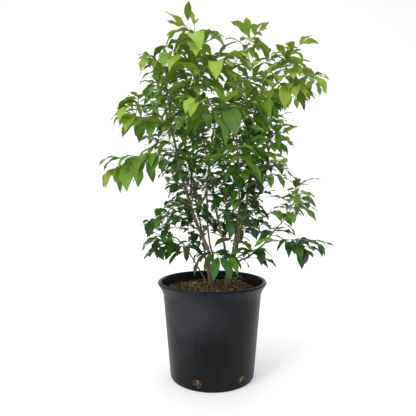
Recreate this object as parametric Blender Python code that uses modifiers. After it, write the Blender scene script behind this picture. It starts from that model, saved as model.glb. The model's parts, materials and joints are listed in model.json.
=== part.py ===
"""A burning bush in a black nursery pot: two short trunks, upright stems and sprays of opposite leaves.

Metres, +Z up. The plant is seen from -Y, with +X to its right, and the origin is the centre of the pot's
flat underside.
"""

import random
from dataclasses import dataclass

import bpy
import numpy as np
from mathutils.bvhtree import BVHTree

MM = 0.001
CLEAR = 0.3 * MM
UP = np.array([0.0, 0.0, 1.0])

# The pot: a turned wall that widens upwards, with a flared shoulder and a rolled lip
POT_HEIGHT = 0.241
LIP_RADIUS = 0.1385
LIP_WIDTH = 0.009
LIP_DEPTH = 0.0095
LIP_TURN = 240
SHOULDER_RADIUS = 0.1245
SHOULDER_Z = 0.207
SHOULDER_CURVE = 1.4
LEDGE_Z = 0.218
FOOT_RADIUS = 0.106
FOOT_ROUND = 0.004
WALL = 0.002
POT_STEPS = 36

# Drain holes at the foot of the wall
HOLES = 6
FIRST_HOLE = 40
HOLE_WIDTH = 0.025
HOLE_HEIGHT = 0.019
HOLE_Z = 0.020
HOLE_SIDES = 14
DRILL_DEPTH = 0.03

# The potting mix: level in the middle, lower at the wall
SOIL_Z = 0.223
SOIL_EDGE_Z = 0.215
SOIL_LEVEL_RADIUS = 0.075

# Limbs: radii taper by this power, the root flares, and seeded kinks are a share of the thickness
TAPER = 0.8
ROOT_FLARE = 1.25
ROOT_RISE = 1.5
KNEE = 1.3
KINK = 0.25
LIMB_STEP = 0.15
LIMB_SIDES = 8
FINE_LIMB = 3 * MM

# A leaf: its width over its length, how far its halves fold up, and how thick it is
LEAF_WIDTH = 0.38
LEAF_FOLD = 22
LEAF_THICKNESS = 0.012
LEAF_NECK = 1.5 * MM
LEAF_ROOT = 0.12
STEEPEST = 85
LARGE_LEAF = 0.092
LARGE_STATIONS = np.array([0.0, 0.28, 0.5, 0.68, 1.0])
LARGE_WIDTHS = (0.82, 0.86)
LARGE_FACES = [
    (7, 0, 6), (7, 6, 5), (7, 5, 4), (7, 4, 3), (7, 3, 2), (7, 2, 0),
    (8, 6, 1), (8, 5, 6), (8, 4, 5), (8, 3, 4), (8, 2, 3), (8, 1, 2),
    (0, 1, 6), (0, 2, 1),
]  # fmt: skip
SMALL_STATIONS = np.array([0.0, 0.16, 0.45, 1.0])
SMALL_KEEL = 1.3
SMALL_FACES = [
    (4, 0, 3), (4, 3, 2), (4, 2, 1), (4, 1, 0),
    (5, 3, 0), (5, 2, 3), (5, 1, 2), (5, 0, 1),
]  # fmt: skip

# Twigs: their radii, the length of their runs, and the spread of the side twigs
TWIG_THICK = 1.5 * MM
TWIG_THIN = 0.9 * MM
TWIG_STEP = 0.03
TWIG_SHARE = 0.85
GOLDEN_ANGLE = 137.5
SIDE_START = 45
SIDE_SPREAD = 25
SIDE_LENGTHS = (0.8, 1.15)
SIDE_LAST = 0.92
SIDE_BARE = 0.45
SIDE_SCALE = 0.78
SIDE_OUT = 0.75
SIDE_ON = 0.5
SIDE_BOW = 0.06
LEVEL_TWIG = 0.6

# Leaves along a twig: how far each pair opens from it, and the spread of that, of lengths, droops and rolls
PAIR_OPENING = 66
END_OPENING = 28
OPENING_SPREAD = 10
AZIMUTH_SPREAD = 14
LEAF_LENGTHS = (0.86, 1.12)
LEAF_DROOPS = (0.7, 1.2)
LEAF_ROLL = 18
PAIR_SCALE = 0.8
PAIR_SWELL = 0.22
END_SCALE = 0.55
STEEP_TWIG = 0.7
LEVEL_PAIR_LIFT = 0.35
SUNK = 0.2

# Room kept round a twig or leaf, how far a leaf may hang towards another mass, and how often a way is sought
ELBOW_ROOM = 1.2 * MM
STRAY = 0.012
TRIES = 5
SIDE_SEED = 1000
LEAF_SEED = 2000


@dataclass
class Limb:
    """A tapering stem or bough: what it leaves and where, its tip, how far its middle is moved, its thick and
    thin radii in millimetres, and the azimuth of the side that it leaves from."""

    name: str
    parent: str
    along: float
    tip: tuple
    bow: tuple
    thick: float
    thin: float
    side: float = None
    foot: tuple = None


@dataclass
class Mass:
    """A mass of foliage: the limb that carries it, its stem's tip, and its pairs of leaves and side twigs."""

    name: str
    limb: str
    along: float
    tip: tuple
    bow: tuple = (0, 0, 0)
    pairs: int = 4
    leaf: float = 0.075
    droop: float = 60
    phase: float = 0
    turn: float = 90
    bare: float = 0.2
    sides: int = 4
    side: float = 0.10
    side_pairs: int = 2
    lift: float = 0.3
    end: float = END_SCALE
    end_droop: float = 0.3


LIMBS = [
    Limb("trunk_left", None, 0, (-0.008, 0.030, 0.296), (-0.003, 0, 0), 6.0, 6.0, foot=(-0.004, 0.035)),
    Limb("trunk_right", None, 0, (0.057, 0.030, 0.292), (-0.002, 0, 0), 7.0, 6.5, foot=(0.040, 0.030)),
    Limb("bough_low_left", None, 0, (-0.100, 0.003, 0.350), (-0.010, 0, 0.030), 2.0, 1.5,
         foot=(-0.018, 0.055)),
    Limb("stem_left", "trunk_left", 1, (-0.122, 0.030, 0.765), (-0.020, 0, 0), 4.6, 1.9),
    Limb("stem_slender", "trunk_left", 0.85, (0.025, 0.060, 0.723), (-0.024, 0.010, 0), 2.6, 1.6, 20),
    Limb("stem_back_left", "trunk_left", 0.65, (-0.075, 0.150, 0.600), (0, 0.030, 0), 2.8, 1.6, 115),
    Limb("stem_right", "trunk_right", 1, (0.099, 0.035, 0.640), (0.016, 0, 0), 4.0, 2.4),
    Limb("stem_centre", "trunk_right", 0.85, (-0.046, 0.000, 0.763), (-0.006, 0, 0), 3.4, 1.8, 190),
    Limb("stem_front", "trunk_right", 0.70, (0.054, -0.060, 0.635), (0.014, 0.010, 0), 2.8, 1.7, 285),
    Limb("stem_back_right", "trunk_right", 0.75, (0.110, 0.150, 0.590), (0, 0.030, 0), 2.8, 1.6, 80),
    Limb("bough_low_right", "trunk_right", 0.92, (0.159, -0.010, 0.369), (0, 0, -0.014), 3.0, 1.8, 345),
    Limb("bough_right_outer", "bough_low_right", 0.72, (0.170, -0.030, 0.343), (0, 0, 0.003), 1.7, 1.4,
         300),
    Limb("stem_left_rear", "stem_left", 0.35, (-0.060, 0.085, 0.660), (0.008, 0.006, 0), 2.2, 1.5),
    Limb("bough_left_middle", "stem_left", 0.57, (-0.130, 0.000, 0.561), (0, 0, 0.002), 1.8, 1.4),
    Limb("bough_left_upper", "stem_left", 0.76, (-0.138, 0.010, 0.647), (0, 0, 0.001), 1.7, 1.4),
    Limb("bough_right_high", "stem_right", 1, (0.145, 0.020, 0.722), (0, 0, -0.008), 2.2, 1.6),
]

MASSES = [
    Mass("foliage_crest", "stem_centre", 1, (-0.046, 0, 0.895), pairs=6, leaf=0.112, droop=105, phase=175,
         turn=50, sides=1, side=0.06, lift=0, end=0.45, end_droop=0.1),
    Mass("foliage_crest_right", "stem_slender", 1, (0.126, 0.050, 0.898), (-0.01, 0, 0.01), pairs=6,
         leaf=0.085, droop=70, phase=0, sides=2, side=0.06, lift=-0.8, end=0.6),
    Mass("foliage_crest_left", "stem_left", 1, (-0.124, 0.028, 0.812), pairs=4, leaf=0.092, droop=100,
         phase=0, sides=3, side=0.07, lift=0.1),
    Mass("foliage_crest_middle", "stem_centre", 0.96, (0.030, -0.045, 0.785), (0, 0, 0.02), pairs=4,
         leaf=0.10, droop=95, phase=0, sides=2, side=0.06),
    Mass("foliage_shoulder_right", "bough_right_high", 1, (0.208, 0, 0.786), pairs=4, leaf=0.095,
         droop=95, phase=0, sides=6, side=0.08, bare=0.05, lift=-0.2, end=0.8, end_droop=0.7),
    Mass("foliage_shoulder_left", "bough_left_upper", 1, (-0.202, -0.020, 0.672), (-0.010, 0, -0.010),
         pairs=5, leaf=0.095, droop=100, phase=0, sides=3, side=0.06, lift=0.1),
    Mass("foliage_arm_left", "bough_left_middle", 1, (-0.236, -0.045, 0.525), (0, 0, 0.010), pairs=5,
         leaf=0.102, droop=115, phase=0, sides=0, bare=0.1, end=0.75, end_droop=0.9),
    Mass("foliage_front", "stem_front", 1, (-0.036, -0.170, 0.632), (0.01, -0.01, 0.01), pairs=4,
         leaf=0.105, droop=110, phase=90, sides=1, side=0.06),
    Mass("foliage_front_middle", "stem_front", 0.70, (0.018, -0.130, 0.545), (0.01, 0, 0.01), pairs=3,
         leaf=0.085, droop=80, phase=0, sides=2, side=0.06),
    Mass("foliage_arm_right", "stem_right", 0.75, (0.180, -0.005, 0.597), (0, 0, 0.01), pairs=4,
         leaf=0.065, droop=85, phase=0, sides=3, side=0.06),
    Mass("foliage_low_right", "bough_low_right", 1, (0.218, -0.030, 0.480), (0.004, 0, -0.01), pairs=5,
         leaf=0.07, droop=75, phase=0, sides=1, side=0.05, end=1.1, end_droop=0.8),
    Mass("foliage_low_outer", "bough_right_outer", 1, (0.230, -0.050, 0.324), (0, 0, 0.005), pairs=5,
         leaf=0.068, droop=90, phase=0, sides=2, side=0.05),
    Mass("foliage_low_left", "bough_low_left", 1, (-0.130, -0.015, 0.396), (-0.008, 0, 0), pairs=4,
         leaf=0.05, droop=75, phase=0, sides=3, side=0.06),
    Mass("foliage_low_left_outer", "bough_low_left", 0.80, (-0.150, -0.030, 0.322), (0, 0, 0.008),
         pairs=4, leaf=0.055, droop=85, phase=0, sides=2, side=0.05),
    Mass("foliage_inner_left", "stem_left_rear", 1, (-0.065, 0.080, 0.760), pairs=4, leaf=0.08, droop=90,
         phase=30, sides=3, side=0.09),
    Mass("foliage_inner_right", "stem_right", 0.92, (0.085, -0.050, 0.700), pairs=4, leaf=0.08, droop=90,
         phase=60, sides=3, side=0.08),
    Mass("foliage_inner_middle", "stem_slender", 0.72, (0.030, 0.010, 0.660), pairs=3, leaf=0.075,
         droop=90, phase=20, sides=2, side=0.07),
    Mass("foliage_back_left", "stem_back_left", 1, (-0.100, 0.180, 0.760), pairs=4, leaf=0.09, droop=95,
         phase=40, sides=4, side=0.11),
    Mass("foliage_back_right", "stem_back_right", 1, (0.140, 0.180, 0.740), pairs=4, leaf=0.09, droop=95,
         phase=-20, sides=4, side=0.11),
    Mass("foliage_arm_back_left", "stem_back_left", 0.75, (-0.180, 0.160, 0.580), (0, 0, 0.01), pairs=4,
         leaf=0.08, droop=90, phase=0, sides=2, side=0.07),
    Mass("foliage_arm_back_right", "stem_back_right", 0.70, (0.200, 0.150, 0.520), (0, 0, 0.01), pairs=4,
         leaf=0.075, droop=90, phase=0, sides=2, side=0.07),
    Mass("foliage_low_back_left", "stem_back_left", 0.30, (-0.110, 0.150, 0.390), pairs=3, leaf=0.055,
         droop=80, phase=0, sides=2, side=0.06),
    Mass("foliage_low_back_right", "stem_back_right", 0.30, (0.110, 0.170, 0.370), pairs=3, leaf=0.06,
         droop=80, phase=0, sides=2, side=0.06),
    Mass("foliage_heart_left", "stem_left", 0.42, (-0.110, 0.000, 0.500), pairs=2, leaf=0.045, droop=60,
         phase=0, sides=2, side=0.05),
    Mass("foliage_heart_low_left", "stem_left", 0.22, (-0.095, 0.000, 0.420), pairs=3, leaf=0.050,
         droop=70, phase=0, sides=2, side=0.05),
    Mass("foliage_heart_centre", "stem_slender", 0.38, (-0.015, -0.020, 0.490), pairs=2, leaf=0.045,
         droop=60, phase=0, sides=2, side=0.05),
    Mass("foliage_heart_right", "stem_right", 0.42, (0.140, 0.010, 0.480), pairs=3, leaf=0.045, droop=70,
         phase=0, sides=2, side=0.05),
    Mass("foliage_heart_low_right", "stem_front", 0.25, (0.070, -0.060, 0.400), pairs=2, leaf=0.05,
         droop=70, phase=0, sides=2, side=0.05),
    Mass("foliage_foot_front", "trunk_left", 0.90, (0.013, -0.108, 0.316), (0, 0, 0.015), pairs=3,
         leaf=0.085, droop=115, phase=90, sides=0, bare=0.3, end=1, end_droop=1),
    Mass("foliage_foot_right", "bough_low_right", 0.30, (0.100, -0.040, 0.322), (0, 0, 0.006), pairs=3,
         leaf=0.06, droop=95, phase=0, sides=1, side=0.04),
]

POT_MATERIAL = ("nursery_plastic", (0.012, 0.013, 0.014), 0.45)
MIX_MATERIAL = ("bark_mix", (0.16, 0.10, 0.055), 0.95)
BARK_MATERIAL = ("grey_tan_bark", (0.23, 0.18, 0.12), 0.85)
LEAF_MATERIAL = ("green_foliage", (0.10, 0.27, 0.035), 0.5)


# Small vector helpers


def unit(vector):
    return vector / np.linalg.norm(vector)


def aim(azimuth, rise):
    """A unit vector from its azimuth, turning from +X to +Y, and its rise above level, in degrees."""
    azimuth, rise = np.radians(azimuth), np.radians(rise)
    return np.array([np.cos(azimuth) * np.cos(rise), np.sin(azimuth) * np.cos(rise), np.sin(rise)])


def square_to(vector, axis):
    """The part of a vector that is square to an axis, at unit length."""
    return unit(vector - vector @ axis * axis)


# Shapes as corners and faces


def tube(points, radii, sides):
    """A closed round tube along the points: a ring at each, square to the mean of the runs beside it."""
    runs = np.diff(points, axis=0)
    runs /= np.linalg.norm(runs, axis=1)[:, None]
    heads = np.vstack([runs[:1], runs[:-1] + runs[1:], runs[-1:]])
    heads /= np.linalg.norm(heads, axis=1)[:, None]
    across = np.cross(heads[0], [0.31, 0.87, 0.38])
    rings = []
    angles = 2 * np.pi * np.arange(sides) / sides
    for point, head, radius in zip(points, heads, radii):
        across = square_to(across, head)
        beside = np.cross(head, across)
        rings.append(point + radius * (np.outer(np.cos(angles), across) + np.outer(np.sin(angles), beside)))
    faces = [tuple(range(sides))[::-1], tuple(range(len(points) * sides - sides, len(points) * sides))]
    for ring in range(len(points) - 1):
        for side in range(sides):
            here, beyond = ring * sides + side, ring * sides + (side + 1) % sides
            faces.append((here, beyond, beyond + sides, here + sides))
    return np.vstack(rings), faces


def turned(profile, steps):
    """A closed turned solid from radii and heights that start and end on the axis, the inside first."""
    angles = 2 * np.pi * np.arange(steps) / steps
    radii, heights = np.array(profile[1:-1]).T
    level = np.repeat(heights[:, None], steps, axis=1)
    rings = np.stack([np.outer(radii, np.cos(angles)), np.outer(radii, np.sin(angles)), level], axis=-1)
    corners = np.vstack([rings.reshape(-1, 3), (0, 0, profile[0][1]), (0, 0, profile[-1][1])])
    here = np.arange(steps) + steps * np.arange(len(radii) - 1)[:, None]
    beside = np.roll(here, -1, axis=1)
    quads = np.stack([here, here + steps, beside + steps, beside], axis=-1).reshape(-1, 4)
    first, last = here[0], here[-1] + steps
    start = np.full(steps, len(corners) - 2)
    inner_fan = np.stack([start, first, np.roll(first, -1)], axis=-1)
    outer_fan = np.stack([start + 1, np.roll(last, -1), last], axis=-1)
    return corners, quads.tolist() + inner_fan.tolist() + outer_fan.tolist()


def leaf(base, out, length, droop, roll, start=0.0, margin=0.0):
    """An arching leaf: its midrib is an arc that turns down by the droop, and its halves fold up."""
    large = length > LARGE_LEAF
    level = np.hypot(out[0], out[1])
    ahead = np.array([out[0], out[1], 0]) / level
    rise = np.arctan2(out[2], level)
    turn = min(np.radians(droop), rise + np.radians(STEEPEST))
    along = start + (1 - start) * (LARGE_STATIONS if large else SMALL_STATIONS)
    heading = rise - turn * along
    reach = length * (np.sin(rise) - np.sin(heading)) / turn
    height = length * (np.cos(heading) - np.cos(rise)) / turn
    midrib = base + np.outer(reach, ahead) + np.outer(height, UP)
    beside = np.cross(UP, ahead)
    face_up = np.outer(np.cos(heading), UP) - np.outer(np.sin(heading), ahead)
    roll = np.radians(roll)
    across = np.cos(roll) * beside + np.sin(roll) * face_up
    above = np.cos(roll) * face_up - np.sin(roll) * beside
    fold = np.radians(LEAF_FOLD)
    half = LEAF_WIDTH * length / 2 + margin
    thick = LEAF_THICKNESS * length / 2 + margin
    neck = LEAF_NECK / 2 + margin

    def edge(station, side, share):
        out_and_up = side * np.cos(fold) * across[station] + np.sin(fold) * above[station]
        return midrib[station] + half * share * out_and_up

    if not large:
        keel = SMALL_KEEL * thick * above[1]
        corners = [midrib[0], edge(2, 1, 1), midrib[3], edge(2, -1, 1), midrib[1] + keel, midrib[1] - keel]
        return np.array(corners), SMALL_FACES
    wide, narrow = LARGE_WIDTHS
    corners = [midrib[0] + neck * above[0], midrib[0] - neck * above[0]]
    corners += [edge(1, 1, wide), edge(3, 1, narrow), midrib[4], edge(3, -1, narrow), edge(1, -1, wide)]
    corners += [midrib[2] + thick * above[2], midrib[2] - thick * above[2]]
    return np.array(corners), LARGE_FACES


# Growth: limbs, then the stem of each mass, its side twigs and its leaves


class Solid:
    """A placed shape, with the box and the search tree that tell what it touches."""

    def __init__(self, owner, corners, faces):
        self.owner, self.corners = owner, corners
        self.low, self.high = corners.min(axis=0), corners.max(axis=0)
        self.tree = BVHTree.FromPolygons(corners.tolist(), faces)


class Crowd:
    """The solids placed so far, with their boxes in two arrays that find the near ones at once."""

    def __init__(self):
        self.solids, self.lows, self.highs = [], np.empty((0, 3)), np.empty((0, 3))

    def add(self, solid):
        self.solids.append(solid)
        self.lows = np.vstack([self.lows, solid.low])
        self.highs = np.vstack([self.highs, solid.high])

    def touched(self, whole, outer):
        """Whether a piece touches what is placed. From its own mass only its outer part keeps clear, because
        its root is sunk in a twig."""
        near = np.all((self.lows < whole.high) & (self.highs > whole.low), axis=1)
        for index in np.flatnonzero(near):
            other = self.solids[index]
            if (outer if other.owner == whole.owner else whole).tree.overlap(other.tree):
                return True
        return False

    def first_free(self, ways):
        """The first of several ways to place a piece that touches nothing."""
        return next((found for whole, outer, found in ways if not self.touched(whole, outer)), None)


class Route:
    """A line of points with a radius at each, which twigs and leaves are placed along."""

    def __init__(self, points, radii):
        self.points, self.radii = points, radii
        steps = np.linalg.norm(np.diff(points, axis=0), axis=1)
        self.marks = np.concatenate([[0], np.cumsum(steps)])
        self.length = self.marks[-1]

    def at(self, along):
        """The point, direction and radius at a share of the length."""
        mark = along * self.length
        point = np.array([np.interp(mark, self.marks, axis) for axis in self.points.T])
        run = min(np.searchsorted(self.marks, mark, side="right") - 1, len(self.points) - 2)
        direction = unit(self.points[run + 1] - self.points[run])
        return point, direction, np.interp(mark, self.marks, self.radii)


def arched(start, tip, bow, steps):
    """Points from start to tip on a curve whose middle is moved by the bow."""
    share = np.linspace(0, 1, steps + 1)[:, None]
    pull = (start + tip) / 2 + 2 * np.array(bow)
    return (1 - share) ** 2 * start + 2 * share * (1 - share) * pull + share**2 * tip


def leaving(parent, along, toward, thick, side=None):
    """The first two points of a limb that leaves another: clear of its bark, then square out from it."""
    point, direction, radius = parent.at(along)
    if along == 1:
        start, out = point + CLEAR * direction, direction
    else:
        out = square_to(toward - point if side is None else aim(side, 0), direction)
        start = point + (radius + CLEAR) * out
    return start, start + KNEE * thick * out


def limb_route(limb, routes):
    tip = np.array(limb.tip)
    thick, thin = limb.thick * MM, limb.thin * MM
    steps = 5 + round(tip[2] / LIMB_STEP)
    if limb.parent:
        start, knee = leaving(routes[limb.parent], limb.along, tip, thick, limb.side)
        points = np.vstack([start, arched(knee, tip, limb.bow, steps)])
    else:
        foot = np.array([*limb.foot, SOIL_Z + CLEAR])
        points = np.vstack([foot, arched(foot + ROOT_RISE * thick * UP, tip, limb.bow, steps)])
    share = np.linspace(0, 1, len(points))
    radii = thin + (thick - thin) * (1 - share) ** TAPER
    if not limb.parent:
        radii[0] *= ROOT_FLARE
    kinks = random.Random(limb.name)
    for index in range(2, len(points) - 2):
        points[index] += [kinks.gauss(0, KINK) * thick for _ in range(3)]
    return Route(points, radii)


def plan_limbs(placed):
    """The route of each limb, which joins the crowd of placed solids."""
    routes = {}
    for limb in LIMBS:
        routes[limb.name] = limb_route(limb, routes)
        placed.add(Solid(limb.name, *tube(routes[limb.name].points, routes[limb.name].radii, LIMB_SIDES)))
    return routes


def side_ways(mass, stem, index, chance):
    """Ways to send out one side twig: turned on by the golden angle, or to either side of a level stem."""
    share = mass.bare + (SIDE_LAST - mass.bare) * (index + 0.5) / mass.sides
    point, direction, radius = stem.at(share)
    for _ in range(TRIES):
        azimuth = mass.phase + SIDE_START + GOLDEN_ANGLE * index + chance.uniform(-SIDE_SPREAD, SIDE_SPREAD)
        length = mass.side * chance.uniform(*SIDE_LENGTHS)
        out = square_to(aim(azimuth, 0), direction)
        if abs(direction[2]) < LEVEL_TWIG:
            beside = (-1) ** index * np.cross(direction, UP)
            out = square_to(beside + chance.uniform(-0.1, 0.6) * UP, direction)
        tip = point + length * unit(SIDE_OUT * out + SIDE_ON * direction + mass.lift * UP)
        points = arched(point, tip, SIDE_BOW * length * UP, 2)
        thick = min(TWIG_SHARE * radius, TWIG_THICK)
        route = Route(points, np.linspace(thick, TWIG_THIN, len(points)))
        whole = Solid(mass.name, *tube(route.points, route.radii + ELBOW_ROOM, 3))
        outer = Solid(mass.name, *tube(route.points[1:], route.radii[1:] + ELBOW_ROOM, 3))
        yield whole, outer, route


def homes_of(twigs):
    """All points of the twigs, and the mass that owns each."""
    points = np.vstack([route.points for routes in twigs.values() for route in routes])
    owners = [name for name, routes in twigs.items() for route in routes for _ in route.points]
    return points, np.array(owners)


def at_home(mass, point, homes):
    """Whether a point is in the mass's own space: about as near to its own twigs as to any other's."""
    points, owners = homes
    gaps = np.linalg.norm(points - point, axis=1)
    return gaps[owners == mass.name].min() < gaps.min() + STRAY


def leaf_ways(mass, route, share, side, turned_by, scale, homes, chance):
    """Ways to hang one leaf: to one side of its twig, arching over by the mass's droop."""
    point, direction, radius = route.at(share)
    opening, bend = (PAIR_OPENING, 1) if share < 1 else (END_OPENING, mass.end_droop)
    for _ in range(TRIES):
        azimuth = turned_by + chance.uniform(-AZIMUTH_SPREAD, AZIMUTH_SPREAD)
        apart = np.radians(opening + chance.uniform(-OPENING_SPREAD, OPENING_SPREAD))
        length = mass.leaf * scale * chance.uniform(*LEAF_LENGTHS)
        droop = mass.droop * bend * chance.uniform(*LEAF_DROOPS)
        roll = chance.uniform(-LEAF_ROLL, LEAF_ROLL)
        if abs(direction[2]) > STEEP_TWIG:
            out = square_to(side * aim(azimuth, 0), direction)
        else:
            lift = LEVEL_PAIR_LIFT * np.sin(np.radians(azimuth)) * UP
            out = square_to(side * np.cross(direction, UP) + lift, direction)
        heading = np.cos(apart) * direction + np.sin(apart) * out
        found = (point - SUNK * radius * heading, heading, length, droop, roll)
        whole = Solid(mass.name, *leaf(*found, 0, ELBOW_ROOM))
        outer = Solid(mass.name, *leaf(*found, LEAF_ROOT, ELBOW_ROOM))
        if at_home(mass, outer.corners.mean(axis=0), homes):
            yield whole, outer, found


def plan_twigs(limbs, placed):
    """Routes of the stem and side twigs of each mass, each one clear of all that is placed before it."""
    twigs = {}
    for mass in MASSES:
        tip = np.array(mass.tip)
        start, knee = leaving(limbs[mass.limb], mass.along, tip, TWIG_THICK)
        steps = max(3, round(np.linalg.norm(tip - start) / TWIG_STEP))
        points = np.vstack([start, arched(knee, tip, mass.bow, steps)])
        stem = Route(points, np.linspace(TWIG_THICK, TWIG_THIN, len(points)))
        twigs[mass.name] = [stem]
        placed.add(Solid(mass.name, *tube(stem.points, stem.radii, 3)))
    for number, mass in enumerate(MASSES):
        chance = random.Random(SIDE_SEED + number)
        for index in range(mass.sides):
            route = placed.first_free(side_ways(mass, twigs[mass.name][0], index, chance))
            if route:
                twigs[mass.name].append(route)
                placed.add(Solid(mass.name, *tube(route.points, route.radii, 3)))
    return twigs


def plan_leaves(twigs, placed):
    """The leaves of each mass, in opposite pairs along its twigs: largest half way, smaller at the end."""
    leaves, homes = {}, homes_of(twigs)
    for number, mass in enumerate(MASSES):
        chance = random.Random(LEAF_SEED + number)
        leaves[mass.name] = []
        for order, route in enumerate(twigs[mass.name]):
            pairs, bare, first, last = mass.pairs, mass.bare, PAIR_SCALE, mass.end
            if order:
                pairs, bare, first, last = mass.side_pairs, SIDE_BARE, SIDE_SCALE, END_SCALE
            for pair in range(pairs):
                share = bare + (1 - bare) * pair / max(pairs - 1, 1)
                scale = (first + PAIR_SWELL * np.sin(np.pi * share)) * (last if pair == pairs - 1 else 1)
                for side in (1, -1):
                    turned_by = mass.phase + mass.turn * (pair + order)
                    ways = leaf_ways(mass, route, share, side, turned_by, scale, homes, chance)
                    found = placed.first_free(ways)
                    if found:
                        leaves[mass.name].append(found)
                        placed.add(Solid(mass.name, *leaf(*found)))
    return leaves


# Blender objects


def material(name, colour, roughness):
    made = bpy.data.materials.new(name)
    made.use_nodes = True
    shader = made.node_tree.nodes["Principled BSDF"]
    shader.inputs["Base Color"].default_value = (*colour, 1)
    shader.inputs["Roughness"].default_value = roughness
    shader.inputs["Metallic"].default_value = 0
    return made


def mesh_object(name, corners, faces, collection):
    mesh = bpy.data.meshes.new(name)
    mesh.from_pydata(corners.tolist(), [], faces)
    made = bpy.data.objects.new(name, mesh)
    collection.objects.link(made)
    return made


def limb_object(name, route, collection, bark):
    """A round limb: a bevelled curve whose points carry the taper."""
    curve = bpy.data.curves.new(name, "CURVE")
    curve.dimensions = "3D"
    curve.bevel_depth = MM
    curve.bevel_resolution = 2 if route.radii[0] > FINE_LIMB else 1
    curve.use_fill_caps = True
    spline = curve.splines.new("POLY")
    spline.points.add(len(route.points) - 1)
    for control, point, radius in zip(spline.points, route.points, route.radii):
        control.co = (*point, 1)
        control.radius = radius / MM
    curve.materials.append(bark)
    made = bpy.data.objects.new(name, curve)
    collection.objects.link(made)
    return made


def screwed(name, profile, collection, finish):
    """A turned piece: the profile from the axis inside to the axis below, swept round by a Screw."""
    mesh = bpy.data.meshes.new(name)
    edges = [(point, point + 1) for point in range(len(profile) - 1)]
    mesh.from_pydata([(radius, 0, z) for radius, z in profile], edges, [])
    mesh.materials.append(finish)
    made = bpy.data.objects.new(name, mesh)
    collection.objects.link(made)
    screw = made.modifiers.new("turn", "SCREW")
    screw.steps = screw.render_steps = POT_STEPS
    screw.use_merge_vertices = True
    screw.merge_threshold = 0.0001
    return made


def wall_radius(z):
    """The outer radius of the plain wall at a height."""
    return FOOT_RADIUS + (SHOULDER_RADIUS - FOOT_RADIUS) * z / SHOULDER_Z


def arc(radius, z, across, up, first, last, count):
    """Points on an upright oval about a centre, between two angles in degrees."""
    angles = np.radians(np.linspace(first, last, count))
    return [(radius + across * np.cos(angle), z + up * np.sin(angle)) for angle in angles]


def pot_profile():
    """Inside floor, inner wall, ledge, rolled lip, flared shoulder, outer wall, rounded foot and underside."""
    floor = wall_radius(WALL + FOOT_ROUND) - WALL
    inside = [(0, WALL), (floor - FOOT_ROUND, WALL), (floor, WALL + FOOT_ROUND)]
    inside.append((wall_radius(LEDGE_Z) - WALL, LEDGE_Z))
    roll = (LIP_RADIUS - LIP_WIDTH / 2, POT_HEIGHT - LIP_DEPTH / 2)
    lip = arc(*roll, LIP_WIDTH / 2, LIP_DEPTH / 2, 180, 180 - LIP_TURN, 7)
    under_radius, under_z = lip[-1]
    flare = []
    for share in (0.75, 0.4, 0):
        out = (under_radius - SHOULDER_RADIUS) * share**SHOULDER_CURVE
        flare.append((SHOULDER_RADIUS + out, SHOULDER_Z + (under_z - SHOULDER_Z) * share))
    foot = arc(FOOT_RADIUS - FOOT_ROUND, FOOT_ROUND, FOOT_ROUND, FOOT_ROUND, 0, -90, 3)
    return inside + lip + flare + foot + [(0, 0)]


def mix_profile():
    """The mix fills the pot, clear of its floor and wall. The points run from its top down to its base."""
    clear = WALL + CLEAR / np.cos(np.pi / POT_STEPS)
    low = WALL + CLEAR + FOOT_ROUND
    return [
        (0, SOIL_Z),
        (SOIL_LEVEL_RADIUS, SOIL_Z),
        (wall_radius(SOIL_EDGE_Z) - clear, SOIL_EDGE_Z),
        (wall_radius(low) - clear, low),
        (wall_radius(low) - clear - FOOT_ROUND, WALL + CLEAR),
        (0, WALL + CLEAR),
    ]


def cut_drain_holes(pot, cutters):
    """Oval drain holes through the foot of the wall, the first one to the right of the front."""
    for index in range(HOLES):
        turn = np.radians(FIRST_HOLE + index * 360 / HOLES - 90)
        bpy.ops.mesh.primitive_cylinder_add(vertices=HOLE_SIDES, radius=0.5, depth=DRILL_DEPTH)
        hole = bpy.context.object
        hole.name = f"drain_hole_{index + 1}"
        for corner in hole.data.vertices:
            corner.co = (corner.co.x * HOLE_HEIGHT, corner.co.y * HOLE_WIDTH, corner.co.z)
        hole.rotation_euler = (0, np.pi / 2, turn)
        radius = wall_radius(HOLE_Z)
        hole.location = (radius * np.cos(turn), radius * np.sin(turn), HOLE_Z)
        hole.hide_render = True
        hole.display_type = "WIRE"
        for holder in list(hole.users_collection):
            holder.objects.unlink(hole)
        cutters.objects.link(hole)
    cut = pot.modifiers.new("drain holes", "BOOLEAN")
    cut.operand_type = "COLLECTION"
    cut.collection = cutters
    cut.operation = "DIFFERENCE"
    cut.solver = "EXACT"


def fuse(name, shapes, collection, finish):
    """One solid from the stem of a mass and all that grows on it."""
    pieces = bpy.data.collections.new(name + "_pieces")
    bpy.context.scene.collection.children.link(pieces)
    stem = mesh_object(name, *shapes[0], collection)
    for number, shape in enumerate(shapes[1:]):
        mesh_object(f"{name}_{number}", *shape, pieces)
    join = stem.modifiers.new("join", "BOOLEAN")
    join.operand_type = "COLLECTION"
    join.collection = pieces
    join.operation = "UNION"
    join.solver = "MANIFOLD"
    graph = bpy.context.evaluated_depsgraph_get()
    fused = bpy.data.meshes.new_from_object(stem.evaluated_get(graph))
    stem.modifiers.clear()
    stem.data = fused
    fused.materials.clear()
    fused.materials.append(finish)
    for piece in list(pieces.objects):
        bpy.data.objects.remove(piece)
    bpy.data.collections.remove(pieces)
    return stem


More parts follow.
